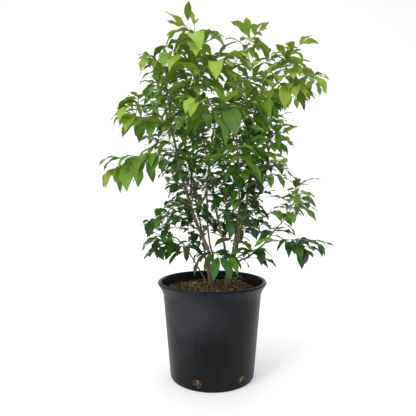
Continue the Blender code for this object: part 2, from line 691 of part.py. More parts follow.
def main():
    for leftover in list(bpy.data.objects):
        bpy.data.objects.remove(leftover)
    plant = bpy.data.collections.new("potted_burning_bush")
    cutters = bpy.data.collections.new("cutters")
    for collection in (plant, cutters):
        bpy.context.scene.collection.children.link(collection)
    bark = material(*BARK_MATERIAL)
    green = material(*LEAF_MATERIAL)

    pot = screwed("pot", pot_profile(), plant, material(*POT_MATERIAL))
    cut_drain_holes(pot, cutters)
    screwed("potting_mix", mix_profile(), plant, material(*MIX_MATERIAL))

    placed = Crowd()
    placed.add(Solid("pot", *turned(pot_profile(), POT_STEPS)))
    placed.add(Solid("potting_mix", *turned(mix_profile(), POT_STEPS)))
    limbs = plan_limbs(placed)
    for name, route in limbs.items():
        limb_object(name, route, plant, bark)
    twigs = plan_twigs(limbs, placed)
    leaves = plan_leaves(twigs, placed)
    for mass in MASSES:
        shapes = [tube(route.points, route.radii, 3) for route in twigs[mass.name]]
        shapes += [leaf(*found) for found in leaves[mass.name]]
        fuse(mass.name, shapes, plant, green)


main()
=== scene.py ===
# %% [markdown]
# A burning bush in a black nursery pot. The packed model is the fixed frame: it says where the pot, the
# limbs and the masses of foliage are. The frame's own meshes could be dressed one by one, but a plant is
# easier to refine by growing it. So this script grows the same plant again by the same rule, carries it
# on to finer twigs and smaller leaves, and gives every surface its finish.
#
# All sizes are in metres, with +Z up. The photograph looks along +Y, and the origin is the centre of the
# pot's flat underside.

# %% The packed frame
import json
import random
from dataclasses import dataclass

import bpy
import numpy as np
from mathutils.bvhtree import BVHTree
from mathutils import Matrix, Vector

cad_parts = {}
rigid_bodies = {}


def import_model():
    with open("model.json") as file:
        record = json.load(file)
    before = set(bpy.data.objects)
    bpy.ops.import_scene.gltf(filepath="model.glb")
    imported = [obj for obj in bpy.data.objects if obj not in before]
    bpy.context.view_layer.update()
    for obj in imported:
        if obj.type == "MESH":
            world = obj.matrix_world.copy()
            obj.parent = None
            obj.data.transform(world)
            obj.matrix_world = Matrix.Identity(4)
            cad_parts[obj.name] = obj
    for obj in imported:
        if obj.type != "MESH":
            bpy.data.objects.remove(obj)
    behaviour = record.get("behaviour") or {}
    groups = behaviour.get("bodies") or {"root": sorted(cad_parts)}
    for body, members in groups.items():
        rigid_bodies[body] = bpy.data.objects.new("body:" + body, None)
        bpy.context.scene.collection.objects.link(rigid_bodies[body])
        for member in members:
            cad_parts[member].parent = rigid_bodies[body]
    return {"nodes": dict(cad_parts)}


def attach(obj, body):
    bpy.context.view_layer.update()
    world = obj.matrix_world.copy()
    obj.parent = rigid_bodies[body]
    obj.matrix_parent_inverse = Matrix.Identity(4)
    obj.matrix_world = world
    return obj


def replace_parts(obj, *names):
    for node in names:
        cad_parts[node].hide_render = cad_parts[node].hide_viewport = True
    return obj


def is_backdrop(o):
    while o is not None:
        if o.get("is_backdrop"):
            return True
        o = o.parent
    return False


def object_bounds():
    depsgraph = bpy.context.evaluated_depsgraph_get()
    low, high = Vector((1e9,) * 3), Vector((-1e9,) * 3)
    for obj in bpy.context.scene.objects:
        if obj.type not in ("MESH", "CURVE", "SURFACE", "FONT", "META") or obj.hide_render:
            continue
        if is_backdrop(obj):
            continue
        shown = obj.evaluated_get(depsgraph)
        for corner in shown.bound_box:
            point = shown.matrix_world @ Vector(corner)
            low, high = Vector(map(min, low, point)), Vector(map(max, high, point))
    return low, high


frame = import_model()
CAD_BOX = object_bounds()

print(len(frame["nodes"]), "nodes in the frame")

# %% [markdown]
# Each size has a name, so that the plant can be changed in one place, and is given where it is first
# needed. These few are used all through. The mix fills the real pot nearly to its lip, and every trunk
# starts on it.

# %% Driving sizes
MM = 0.001
CLEAR = 0.3 * MM
UP = np.array([0.0, 0.0, 1.0])

# The potting mix: level in the middle, lower at the wall
SOIL_Z = 0.223
SOIL_EDGE_Z = 0.215
SOIL_LEVEL_RADIUS = 0.075

print("the mix is", SOIL_Z, "m up")

# %% [markdown]
# A shrub like this has a few trunks, stems that leave them, and boughs that leave the stems. Each mass
# of foliage hangs on one more stem. The branching could be drawn curve by curve, but a table is short
# and can be read: each row names what it leaves, at which share of the length, and where its own tip is.

# %% Limbs and masses
END_SCALE = 0.55


@dataclass
class Limb:
    """A tapering stem or bough: what it leaves and where, its tip, how far its middle is moved, its two
    radii in millimetres, and the azimuth of the side that it leaves from."""

    name: str
    parent: str
    along: float
    tip: tuple
    bow: tuple
    thick: float
    thin: float
    side: float = None
    foot: tuple = None


@dataclass
class Mass:
    """A mass of foliage: what carries it, its stem's tip, and its pairs of leaves and side twigs."""

    name: str
    limb: str
    along: float
    tip: tuple
    bow: tuple = (0, 0, 0)
    pairs: int = 4
    leaf: float = 0.075
    droop: float = 60
    phase: float = 0
    turn: float = 90
    bare: float = 0.2
    sides: int = 4
    side: float = 0.10
    side_pairs: int = 2
    lift: float = 0.3
    end: float = END_SCALE
    end_droop: float = 0.3


print("a mass's leaf is", Mass.leaf, "m long where its row gives no other length")

# %% The limbs
LIMBS = [
    Limb("trunk_left", None, 0, (-0.008, 0.030, 0.296), (-0.003, 0, 0), 6.0, 6.0, foot=(-0.004, 0.035)),
    Limb("trunk_right", None, 0, (0.057, 0.030, 0.292), (-0.002, 0, 0), 7.0, 6.5, foot=(0.040, 0.030)),
    Limb("bough_low_left", None, 0, (-0.100, 0.003, 0.350), (-0.010, 0, 0.030), 2.0, 1.5,
         foot=(-0.018, 0.055)),
    Limb("stem_left", "trunk_left", 1, (-0.122, 0.030, 0.765), (-0.020, 0, 0), 4.6, 1.9),
    Limb("stem_slender", "trunk_left", 0.85, (0.025, 0.060, 0.723), (-0.024, 0.010, 0), 2.6, 1.6, 20),
    Limb("stem_back_left", "trunk_left", 0.65, (-0.075, 0.150, 0.600), (0, 0.030, 0), 2.8, 1.6, 115),
    Limb("stem_right", "trunk_right", 1, (0.099, 0.035, 0.640), (0.016, 0, 0), 4.0, 2.4),
    Limb("stem_centre", "trunk_right", 0.85, (-0.046, 0.000, 0.763), (-0.006, 0, 0), 3.4, 1.8, 190),
    Limb("stem_front", "trunk_right", 0.70, (0.054, -0.060, 0.635), (0.014, 0.010, 0), 2.8, 1.7, 285),
    Limb("stem_back_right", "trunk_right", 0.75, (0.110, 0.150, 0.590), (0, 0.030, 0), 2.8, 1.6, 80),
    Limb("bough_low_right", "trunk_right", 0.92, (0.159, -0.010, 0.369), (0, 0, -0.014), 3.0, 1.8, 345),
    Limb("bough_right_outer", "bough_low_right", 0.72, (0.170, -0.030, 0.343), (0, 0, 0.003), 1.7, 1.4,
         300),
    Limb("stem_left_rear", "stem_left", 0.35, (-0.060, 0.085, 0.660), (0.008, 0.006, 0), 2.2, 1.5),
    Limb("bough_left_middle", "stem_left", 0.57, (-0.130, 0.000, 0.561), (0, 0, 0.002), 1.8, 1.4),
    Limb("bough_left_upper", "stem_left", 0.76, (-0.138, 0.010, 0.647), (0, 0, 0.001), 1.7, 1.4),
    Limb("bough_right_high", "stem_right", 1, (0.145, 0.020, 0.722), (0, 0, -0.008), 2.2, 1.6),
]

print(len(LIMBS), "limbs")

# %% The masses of foliage
MASSES = [
    Mass("foliage_crest", "stem_centre", 1, (-0.046, 0, 0.895), pairs=6, leaf=0.112, droop=105,
         phase=175, turn=50, sides=1, side=0.06, lift=0, end=0.45, end_droop=0.1),
    Mass("foliage_crest_right", "stem_slender", 1, (0.126, 0.050, 0.898), (-0.01, 0, 0.01), pairs=6,
         leaf=0.085, droop=70, sides=2, side=0.06, lift=-0.8, end=0.6),
    Mass("foliage_crest_left", "stem_left", 1, (-0.124, 0.028, 0.812), leaf=0.092, droop=100, sides=3,
         side=0.07, lift=0.1),
    Mass("foliage_crest_middle", "stem_centre", 0.96, (0.030, -0.045, 0.785), (0, 0, 0.02), leaf=0.10,
         droop=95, sides=2, side=0.06),
    Mass("foliage_shoulder_right", "bough_right_high", 1, (0.208, 0, 0.786), leaf=0.095, droop=95,
         sides=6, side=0.08, bare=0.05, lift=-0.2, end=0.8, end_droop=0.7),
    Mass("foliage_shoulder_left", "bough_left_upper", 1, (-0.202, -0.020, 0.672), (-0.010, 0, -0.010),
         pairs=5, leaf=0.095, droop=100, sides=3, side=0.06, lift=0.1),
    Mass("foliage_arm_left", "bough_left_middle", 1, (-0.236, -0.045, 0.525), (0, 0, 0.010), pairs=5,
         leaf=0.102, droop=115, sides=0, bare=0.1, end=0.75, end_droop=0.9),
    Mass("foliage_front", "stem_front", 1, (-0.036, -0.170, 0.632), (0.01, -0.01, 0.01), leaf=0.105,
         droop=110, phase=90, sides=1, side=0.06),
    Mass("foliage_front_middle", "stem_front", 0.70, (0.018, -0.130, 0.545), (0.01, 0, 0.01), pairs=3,
         leaf=0.085, droop=80, sides=2, side=0.06),
    Mass("foliage_arm_right", "stem_right", 0.75, (0.180, -0.005, 0.597), (0, 0, 0.01), leaf=0.065,
         droop=85, sides=3, side=0.06),
    Mass("foliage_low_right", "bough_low_right", 1, (0.218, -0.030, 0.480), (0.004, 0, -0.01), pairs=5,
         leaf=0.07, droop=75, sides=1, side=0.05, end=1.1, end_droop=0.8),
    Mass("foliage_low_outer", "bough_right_outer", 1, (0.230, -0.050, 0.324), (0, 0, 0.005), pairs=5,
         leaf=0.068, droop=90, sides=2, side=0.05),
    Mass("foliage_low_left", "bough_low_left", 1, (-0.130, -0.015, 0.396), (-0.008, 0, 0), leaf=0.05,
         droop=75, sides=3, side=0.06),
    Mass("foliage_low_left_outer", "bough_low_left", 0.80, (-0.150, -0.030, 0.322), (0, 0, 0.008),
         leaf=0.055, droop=85, sides=2, side=0.05),
    Mass("foliage_inner_left", "stem_left_rear", 1, (-0.065, 0.080, 0.760), leaf=0.08, droop=90,
         phase=30, sides=3, side=0.09),
    Mass("foliage_inner_right", "stem_right", 0.92, (0.085, -0.050, 0.700), leaf=0.08, droop=90,
         phase=60, sides=3, side=0.08),
    Mass("foliage_inner_middle", "stem_slender", 0.72, (0.030, 0.010, 0.660), pairs=3, leaf=0.075,
         droop=90, phase=20, sides=2, side=0.07),
    Mass("foliage_back_left", "stem_back_left", 1, (-0.100, 0.180, 0.760), leaf=0.09, droop=95,
         phase=40, side=0.11),
    Mass("foliage_back_right", "stem_back_right", 1, (0.140, 0.180, 0.740), leaf=0.09, droop=95,
         phase=-20, side=0.11),
    Mass("foliage_arm_back_left", "stem_back_left", 0.75, (-0.180, 0.160, 0.580), (0, 0, 0.01),
         leaf=0.08, droop=90, sides=2, side=0.07),
    Mass("foliage_arm_back_right", "stem_back_right", 0.70, (0.200, 0.150, 0.520), (0, 0, 0.01),
         leaf=0.075, droop=90, sides=2, side=0.07),
    Mass("foliage_low_back_left", "stem_back_left", 0.30, (-0.110, 0.150, 0.390), pairs=3, leaf=0.055,
         droop=80, sides=2, side=0.06),
    Mass("foliage_low_back_right", "stem_back_right", 0.30, (0.110, 0.170, 0.370), pairs=3, leaf=0.06,
         droop=80, sides=2, side=0.06),
    Mass("foliage_heart_left", "stem_left", 0.42, (-0.110, 0.000, 0.500), pairs=2, leaf=0.045, sides=2,
         side=0.05),
    Mass("foliage_heart_low_left", "stem_left", 0.22, (-0.095, 0.000, 0.420), pairs=3, leaf=0.050,
         droop=70, sides=2, side=0.05),
    Mass("foliage_heart_centre", "stem_slender", 0.38, (-0.015, -0.020, 0.490), pairs=2, leaf=0.045,
         sides=2, side=0.05),
    Mass("foliage_heart_right", "stem_right", 0.42, (0.140, 0.010, 0.480), pairs=3, leaf=0.045,
         droop=70, sides=2, side=0.05),
    Mass("foliage_heart_low_right", "stem_front", 0.25, (0.070, -0.060, 0.400), pairs=2, leaf=0.05,
         droop=70, sides=2, side=0.05),
    Mass("foliage_foot_front", "trunk_left", 0.90, (0.013, -0.108, 0.316), (0, 0, 0.015), pairs=3,
         leaf=0.085, droop=115, phase=90, sides=0, bare=0.3, end=1, end_droop=1),
    Mass("foliage_foot_right", "bough_low_right", 0.30, (0.100, -0.040, 0.322), (0, 0, 0.006), pairs=3,
         leaf=0.06, droop=95, sides=1, side=0.04),
]
print(len(MASSES), "masses")

# %% [markdown]
# Growth needs a few vector helpers and three plain shapes: a tube for a twig, a turned solid for the
# pot, and a folded kite on an arc for a leaf. They stand in for the fine surfaces when the rule asks
# whether a place is free, because a test against a few faces is quick.

# %% Vectors


def unit(vector):
    """A vector over its own length."""
    return vector / np.linalg.norm(vector)


def aim(azimuth, rise):
    """A unit vector from its azimuth, turning from +X to +Y, and its rise above level, in degrees."""
    azimuth, rise = np.radians(azimuth), np.radians(rise)
    return np.array([np.cos(azimuth) * np.cos(rise), np.sin(azimuth) * np.cos(rise), np.sin(rise)])


def square_to(vector, axis):
    """The part of a vector that is square to an axis, at unit length."""
    return unit(vector - vector @ axis * axis)


def directions(points):
    """Unit directions at each point, half way between the runs beside it."""
    runs = np.diff(points, axis=0)
    runs /= np.linalg.norm(runs, axis=1)[:, None]
    heads = np.vstack([runs[:1], runs[:-1] + runs[1:], runs[-1:]])
    return heads / np.linalg.norm(heads, axis=1)[:, None]


print("aim(90, 0) gives", aim(90, 0).round(3))

# %% Tubes
# Any direction that no twig has
SKEW = (0.31, 0.87, 0.38)


def ring_quads(rings, sides):
    """The quads between rings of corners that follow one another: each joins two neighbours on one ring to
    the same two on the next."""
    here = np.arange(sides) + sides * np.arange(rings - 1)[:, None]
    beyond = np.roll(here, -1, axis=1)
    return np.stack([here, beyond, beyond + sides, here + sides], axis=-1).reshape(-1, 4)


def tube(points, radii, sides):
    """A closed round tube along the points: a ring at each, square to the mean of the runs beside it."""
    heads = directions(points)
    across = np.cross(heads[0], SKEW)
    rings = []
    angles = 2 * np.pi * np.arange(sides) / sides
    for point, head, radius in zip(points, heads, radii):
        across = square_to(across, head)
        beside = np.cross(head, across)
        rings.append(point + radius * (np.outer(np.cos(angles), across) + np.outer(np.sin(angles), beside)))
    last = (len(points) - 1) * sides
    caps = [list(range(sides))[::-1], list(range(last, last + sides))]
    return np.vstack(rings), caps + ring_quads(len(points), sides).tolist()


print(len(tube(np.outer((0, 1, 2), UP), (1, 1, 1), 8)[1]), "faces on a tube of two runs")

# %% Turned solids


def turned(profile, steps):
    """A closed turned solid from radii and heights that start and end on the axis, the inside first."""
    angles = 2 * np.pi * np.arange(steps) / steps
    radii, heights = np.array(profile[1:-1]).T
    level = np.repeat(heights[:, None], steps, axis=1)
    rings = np.stack([np.outer(radii, np.cos(angles)), np.outer(radii, np.sin(angles)), level], axis=-1)
    corners = np.vstack([rings.reshape(-1, 3), (0, 0, profile[0][1]), (0, 0, profile[-1][1])])
    quads = ring_quads(len(radii), steps)[:, [0, 3, 2, 1]]
    first = np.arange(steps)
    last = first + steps * (len(radii) - 1)
    start = np.full(steps, len(corners) - 2)
    inner_fan = np.stack([start, first, np.roll(first, -1)], axis=-1)
    outer_fan = np.stack([start + 1, np.roll(last, -1), last], axis=-1)
    return corners, quads.tolist() + inner_fan.tolist() + outer_fan.tolist()


print(len(turned([(0, 1), (1, 1), (1, 0), (0, 0)], 8)[1]), "faces on a turned drum")

# %% The arc and the face of a leaf
# A leaf: its width over its length, how far its halves fold up, and how thick it is
LEAF_WIDTH = 0.38
LEAF_FOLD = 22
LEAF_THICKNESS = 0.012
LEAF_NECK = 1.5 * MM
LEAF_ROOT = 0.12
STEEPEST = 85
LARGE_LEAF = 0.092
LARGE_STATIONS = np.array([0.0, 0.28, 0.5, 0.68, 1.0])
LARGE_WIDTHS = (0.82, 0.86)
LARGE_FACES = [
    (7, 0, 6), (7, 6, 5), (7, 5, 4), (7, 4, 3), (7, 3, 2), (7, 2, 0),
    (8, 6, 1), (8, 5, 6), (8, 4, 5), (8, 3, 4), (8, 2, 3), (8, 1, 2),
    (0, 1, 6), (0, 2, 1),
]
SMALL_STATIONS = np.array([0.0, 0.16, 0.45, 1.0])
SMALL_KEEL = 1.3
SMALL_FACES = [
    (4, 0, 3), (4, 3, 2), (4, 2, 1), (4, 1, 0),
    (5, 3, 0), (5, 2, 3), (5, 1, 2), (5, 0, 1),
]


def midrib_arc(out, level, droop, length, along):
    """An arc from the leaf's heading that turns down by the droop. Its slope falls evenly, and its
    reach and height are the integrals of the slope's cosine and sine."""
    rise = np.arctan2(out[..., 2], level)
    turn = np.minimum(np.radians(droop), rise + np.radians(STEEPEST))
    heading = rise - turn * along
    reach = length * (np.sin(rise) - np.sin(heading)) / turn
    height = length * (np.cos(heading) - np.cos(rise)) / turn
    return heading, reach, height


def face_ways(ahead, heading, roll):
    """The directions across a leaf and up from its face, both turned about its midrib by the roll."""
    beside = np.cross(UP, ahead)
    face_up = np.cos(heading)[..., None] * UP - np.sin(heading)[..., None] * ahead
    across = np.cos(roll) * beside + np.sin(roll) * face_up
    return across, np.cos(roll) * face_up - np.sin(roll) * beside


sample = aim(0, 30)
slope = midrib_arc(sample, np.hypot(*sample[:2]), 90, 1, 0.5)[0]
print("a leaf that rises by 30 degrees and droops by 90 slopes", np.degrees(slope).round(), "half way")

# %% Plain leaves


def leaf(base, out, length, droop, roll, start=0.0, margin=0.0):
    """An arching leaf: its midrib is an arc that turns down by the droop, and its halves fold up."""
    large = length > LARGE_LEAF
    level = np.hypot(out[0], out[1])
    ahead = np.array([out[0], out[1], 0]) / level
    along = start + (1 - start) * (LARGE_STATIONS if large else SMALL_STATIONS)
    heading, reach, height = midrib_arc(out, level, droop, length, along)
    midrib = base + np.outer(reach, ahead) + np.outer(height, UP)
    across, above = face_ways(ahead, heading, np.radians(roll))
    fold = np.radians(LEAF_FOLD)
    half = LEAF_WIDTH * length / 2 + margin
    thick = LEAF_THICKNESS * length / 2 + margin
    neck = LEAF_NECK / 2 + margin

    def edge(station, side, share):
        """A corner of the outline: out and up from the midrib, along the fold."""
        out_and_up = side * np.cos(fold) * across[station] + np.sin(fold) * above[station]
        return midrib[station] + half * share * out_and_up

    if not large:
        keel = SMALL_KEEL * thick * above[1]
        corners = [midrib[0], edge(2, 1, 1), midrib[3], edge(2, -1, 1), midrib[1] + keel, midrib[1] - keel]
        return np.array(corners), SMALL_FACES
    wide, narrow = LARGE_WIDTHS
    corners = [midrib[0] + neck * above[0], midrib[0] - neck * above[0]]
    corners += [edge(1, 1, wide), edge(3, 1, narrow), midrib[4], edge(3, -1, narrow), edge(1, -1, wide)]
    corners += [midrib[2] + thick * above[2], midrib[2] - thick * above[2]]
    return np.array(corners), LARGE_FACES


print(len(LARGE_FACES), "faces on a large plain leaf,", len(SMALL_FACES), "on a small one")

# %% [markdown]
# The real plant sets its leaves in opposite pairs along each twig, and each twig turns on from the last.
# A particle system would let them cut through each other. Here each side twig and leaf is tried in a few
# ways, and the first one that touches nothing is kept. A leaf also stays in the space of its own mass.

# %% What is placed
ELBOW_ROOM = 1.2 * MM


class Solid:
    """A placed shape, with the box and the search tree that tell what it touches."""

    def __init__(self, owner, corners, faces):
        self.owner, self.corners = owner, corners
        self.low, self.high = corners.min(axis=0), corners.max(axis=0)
        self.tree = BVHTree.FromPolygons(corners.tolist(), faces)


class Crowd:
    """The solids placed so far, with their boxes in two arrays that find the near ones at once."""

    def __init__(self):
        self.solids, self.lows, self.highs = [], np.empty((0, 3)), np.empty((0, 3))

    def add(self, solid):
        """Put one more solid, and its box, with the rest."""
        self.solids.append(solid)
        self.lows = np.vstack([self.lows, solid.low])
        self.highs = np.vstack([self.highs, solid.high])

    def touched(self, whole, outer):
        """Whether a piece touches what is placed. Of its own mass only its outer part keeps clear, because
        its root is sunk in a twig."""
        near = np.all((self.lows < whole.high) & (self.highs > whole.low), axis=1)
        for index in np.flatnonzero(near):
            other = self.solids[index]
            if (outer if other.owner == whole.owner else whole).tree.overlap(other.tree):
                return True
        return False

    def first_free(self, ways):
        """The first of several ways to place a piece that touches nothing."""
        return next((found for whole, outer, found in ways if not self.touched(whole, outer)), None)


print("room kept round a twig or leaf:", ELBOW_ROOM / MM, "mm")

# %% Routes


class Route:
    """A line of points with a radius at each, which twigs and leaves are placed along."""

    def __init__(self, points, radii):
        self.points, self.radii = points, radii
        steps = np.linalg.norm(np.diff(points, axis=0), axis=1)
        self.marks = np.concatenate([[0], np.cumsum(steps)])
        self.length = self.marks[-1]

    def at(self, along):
        """The point, direction and radius at a share of the length."""
        mark = along * self.length
        point = np.array([np.interp(mark, self.marks, axis) for axis in self.points.T])
        run = min(np.searchsorted(self.marks, mark, side="right") - 1, len(self.points) - 2)
        direction = unit(self.points[run + 1] - self.points[run])
        return point, direction, np.interp(mark, self.marks, self.radii)


def arched(start, tip, bow, steps):
    """Points from start to tip on a curve whose middle is moved by the bow."""
    share = np.linspace(0, 1, steps + 1)[:, None]
    pull = (start + tip) / 2 + 2 * np.array(bow)
    return (1 - share) ** 2 * start + 2 * share * (1 - share) * pull + share**2 * tip


print(Route(np.outer((0, 1, 3), UP), (1, 1, 1)).length, "is the length of a test route")

# %% [markdown]
# A limb leaves another one at a share of its length, clear of its bark, and tapers to its tip. A
# straight cone would do for a pole, but living wood bends. So the route is an arch with small seeded
# kinks, and the radius falls by a power, quickest at the foot.

# %% Limbs grow
# Limbs: radii taper by this power, the root flares, and seeded kinks are a share of the thickness
TAPER = 0.8
ROOT_FLARE = 1.25
ROOT_RISE = 1.5
KNEE = 1.3
KINK = 0.25
LIMB_STEP = 0.15
LIMB_SIDES = 8
LEAST_RUNS = 5


def leaving(parent, along, toward, thick, side=None):
    """The first two points of a limb that leaves another: clear of its bark, then square out from it."""
    point, direction, radius = parent.at(along)
    if along == 1:
        start, out = point + CLEAR * direction, direction
    else:
        out = square_to(toward - point if side is None else aim(side, 0), direction)
        start = point + (radius + CLEAR) * out
    return start, start + KNEE * thick * out


def limb_route(limb, routes):
    """A limb's points and radii: its root, then an arch to the tip, and a radius that falls from thick to
    thin by the taper's power of the share that is left."""
    tip = np.array(limb.tip)
    thick, thin = limb.thick * MM, limb.thin * MM
    steps = LEAST_RUNS + round(tip[2] / LIMB_STEP)
    if limb.parent:
        start, knee = leaving(routes[limb.parent], limb.along, tip, thick, limb.side)
        points = np.vstack([start, arched(knee, tip, limb.bow, steps)])
    else:
        foot = np.array([*limb.foot, SOIL_Z + CLEAR])
        points = np.vstack([foot, arched(foot + ROOT_RISE * thick * UP, tip, limb.bow, steps)])
    share = np.linspace(0, 1, len(points))
    radii = thin + (thick - thin) * (1 - share) ** TAPER
    if not limb.parent:
        radii[0] *= ROOT_FLARE
    kinks = random.Random(limb.name)
    for index in range(2, len(points) - 2):
        points[index] += [kinks.gauss(0, KINK) * thick for _ in range(3)]
    return Route(points, radii)


def plan_limbs(placed):
    """The route of each limb, which joins the crowd of placed solids."""
    routes = {}
    for limb in LIMBS:
        routes[limb.name] = limb_route(limb, routes)
        placed.add(Solid(limb.name, *tube(routes[limb.name].points, routes[limb.name].radii, LIMB_SIDES)))
    return routes


# %% [markdown]
# Each mass has one stem, and side twigs leave it all round. Real twigs turn on by nearly the same angle
# each time, so that none shades the last one: the golden angle does that. On a level stem they go out to
# its sides. A tilt drawn at random would leave bald places.

# %% Twigs grow
# Twigs: their radii, the length of their runs, and the spread of the side twigs
TWIG_THICK = 1.5 * MM
TWIG_THIN = 0.9 * MM
TWIG_STEP = 0.03
TWIG_SHARE = 0.85
GOLDEN_ANGLE = 137.5
SIDE_START = 45
SIDE_SPREAD = 25
SIDE_LENGTHS = (0.8, 1.15)
SIDE_LAST = 0.92
SIDE_BARE = 0.45
SIDE_SCALE = 0.78
SIDE_OUT = 0.75
SIDE_ON = 0.5
SIDE_BOW = 0.06
LEVEL_TWIG = 0.6
LEVEL_LIFTS = (-0.1, 0.6)
TRIES = 5


def side_ways(mass, stem, index, chance):
    """Ways to send out one side twig: turned on by the golden angle, or to either side of a level stem."""
    share = mass.bare + (SIDE_LAST - mass.bare) * (index + 0.5) / mass.sides
    point, direction, radius = stem.at(share)
    for _ in range(TRIES):
        azimuth = mass.phase + SIDE_START + GOLDEN_ANGLE * index + chance.uniform(-SIDE_SPREAD, SIDE_SPREAD)
        length = mass.side * chance.uniform(*SIDE_LENGTHS)
        out = square_to(aim(azimuth, 0), direction)
        if abs(direction[2]) < LEVEL_TWIG:
            beside = (-1) ** index * np.cross(direction, UP)
            out = square_to(beside + chance.uniform(*LEVEL_LIFTS) * UP, direction)
        tip = point + length * unit(SIDE_OUT * out + SIDE_ON * direction + mass.lift * UP)
        points = arched(point, tip, SIDE_BOW * length * UP, 2)
        thick = min(TWIG_SHARE * radius, TWIG_THICK)
        route = Route(points, np.linspace(thick, TWIG_THIN, len(points)))
        whole = Solid(mass.name, *tube(route.points, route.radii + ELBOW_ROOM, 3))
        outer = Solid(mass.name, *tube(route.points[1:], route.radii[1:] + ELBOW_ROOM, 3))
        yield whole, outer, route


print(sum(mass.sides for mass in MASSES), "side twigs to try")

# %% [markdown]
# Leaves stand in opposite pairs, and each pair is turned on from the last. A leaf is aimed out from its
# twig and arches over by its mass's droop. It could be set down blindly, but then it would cut its
# neighbours. So each has a few ways, all drawn from one seeded stream, so that a rerun gives the same
# plant.

# %% Leaves grow
# Leaves along a twig: how far each pair opens from it, and the spread of that, of lengths, droops and rolls
PAIR_OPENING = 66
END_OPENING = 28
OPENING_SPREAD = 10
AZIMUTH_SPREAD = 14
LEAF_LENGTHS = (0.86, 1.12)
LEAF_DROOPS = (0.7, 1.2)
LEAF_ROLL = 18
PAIR_SCALE = 0.8
PAIR_SWELL = 0.22
STEEP_TWIG = 0.7
LEVEL_PAIR_LIFT = 0.35
SUNK = 0.2

# How far a leaf may hang towards another mass
STRAY = 0.012


def homes_of(twigs):
    """All points of the twigs, and the mass that owns each."""
    points = np.vstack([route.points for routes in twigs.values() for route in routes])
    owners = [name for name, routes in twigs.items() for route in routes for _ in route.points]
    return points, np.array(owners)


def at_home(mass, point, homes):
    """Whether a point is in the mass's own space: about as near to its own twigs as to any other's."""
    points, owners = homes
    gaps = np.linalg.norm(points - point, axis=1)
    return gaps[owners == mass.name].min() < gaps.min() + STRAY


def leaf_ways(mass, route, share, side, turned_by, scale, homes, chance):
    """Ways to hang one leaf: to one side of its twig, arching over by the mass's droop."""
    point, direction, radius = route.at(share)
    opening, bend = (PAIR_OPENING, 1) if share < 1 else (END_OPENING, mass.end_droop)
    for _ in range(TRIES):
        azimuth = turned_by + chance.uniform(-AZIMUTH_SPREAD, AZIMUTH_SPREAD)
        apart = np.radians(opening + chance.uniform(-OPENING_SPREAD, OPENING_SPREAD))
        length = mass.leaf * scale * chance.uniform(*LEAF_LENGTHS)
        droop = mass.droop * bend * chance.uniform(*LEAF_DROOPS)
        roll = chance.uniform(-LEAF_ROLL, LEAF_ROLL)
        if abs(direction[2]) > STEEP_TWIG:
            out = square_to(side * aim(azimuth, 0), direction)
        else:
            lift = LEVEL_PAIR_LIFT * np.sin(np.radians(azimuth)) * UP
            out = square_to(side * np.cross(direction, UP) + lift, direction)
        heading = np.cos(apart) * direction + np.sin(apart) * out
        found = (point - SUNK * radius * heading, heading, length, droop, roll)
        whole = Solid(mass.name, *leaf(*found, 0, ELBOW_ROOM))
        outer = Solid(mass.name, *leaf(*found, LEAF_ROOT, ELBOW_ROOM))
        if at_home(mass, outer.corners.mean(axis=0), homes):
            yield whole, outer, found


print("a leaf opens", PAIR_OPENING, "degrees from its twig, and", END_OPENING, "at its end")

# %% Plans for twigs and leaves
SIDE_SEED = 1000
LEAF_SEED = 2000


def plan_twigs(limbs, placed):
    """Routes of the stem and side twigs of each mass, each one clear of all that is placed before it."""
    twigs = {}
    for mass in MASSES:
        tip = np.array(mass.tip)
        start, knee = leaving(limbs[mass.limb], mass.along, tip, TWIG_THICK)
        steps = max(3, round(np.linalg.norm(tip - start) / TWIG_STEP))
        points = np.vstack([start, arched(knee, tip, mass.bow, steps)])
        stem = Route(points, np.linspace(TWIG_THICK, TWIG_THIN, len(points)))
        twigs[mass.name] = [stem]
        placed.add(Solid(mass.name, *tube(stem.points, stem.radii, 3)))
    for number, mass in enumerate(MASSES):
        chance = random.Random(SIDE_SEED + number)
        for index in range(mass.sides):
            route = placed.first_free(side_ways(mass, twigs[mass.name][0], index, chance))
            if route:
                twigs[mass.name].append(route)
                placed.add(Solid(mass.name, *tube(route.points, route.radii, 3)))
    return twigs


def plan_leaves(twigs, placed):
    """The leaves of each mass, in opposite pairs along its twigs: largest half way, smaller at the end."""
    leaves, homes = {}, homes_of(twigs)
    for number, mass in enumerate(MASSES):
        chance = random.Random(LEAF_SEED + number)
        leaves[mass.name] = []
        for order, route in enumerate(twigs[mass.name]):
            pairs, bare, first, last = mass.pairs, mass.bare, PAIR_SCALE, mass.end
            if order:
                pairs, bare, first, last = mass.side_pairs, SIDE_BARE, SIDE_SCALE, END_SCALE
            for pair in range(pairs):
                share = bare + (1 - bare) * pair / max(pairs - 1, 1)
                scale = (first + PAIR_SWELL * np.sin(np.pi * share)) * (last if pair == pairs - 1 else 1)
                for side in (1, -1):
                    turned_by = mass.phase + mass.turn * (pair + order)
                    ways = leaf_ways(mass, route, share, side, turned_by, scale, homes, chance)
                    found = placed.first_free(ways)
                    if found:
                        leaves[mass.name].append(found)
                        placed.add(Solid(mass.name, *leaf(*found)))
    return leaves


print(sum(mass.pairs for mass in MASSES), "pairs of leaves to try on the masses' own stems")

# %% [markdown]
# The pot is moulded round an axis, so its lip, shoulder, wall and foot are one outline turned about Z. A
# Screw modifier would do that too. Arrays do it here, because the same outline then serves twice: with
# few points for the test of room, and with many points and rings up the wall for the surface that is
# seen.

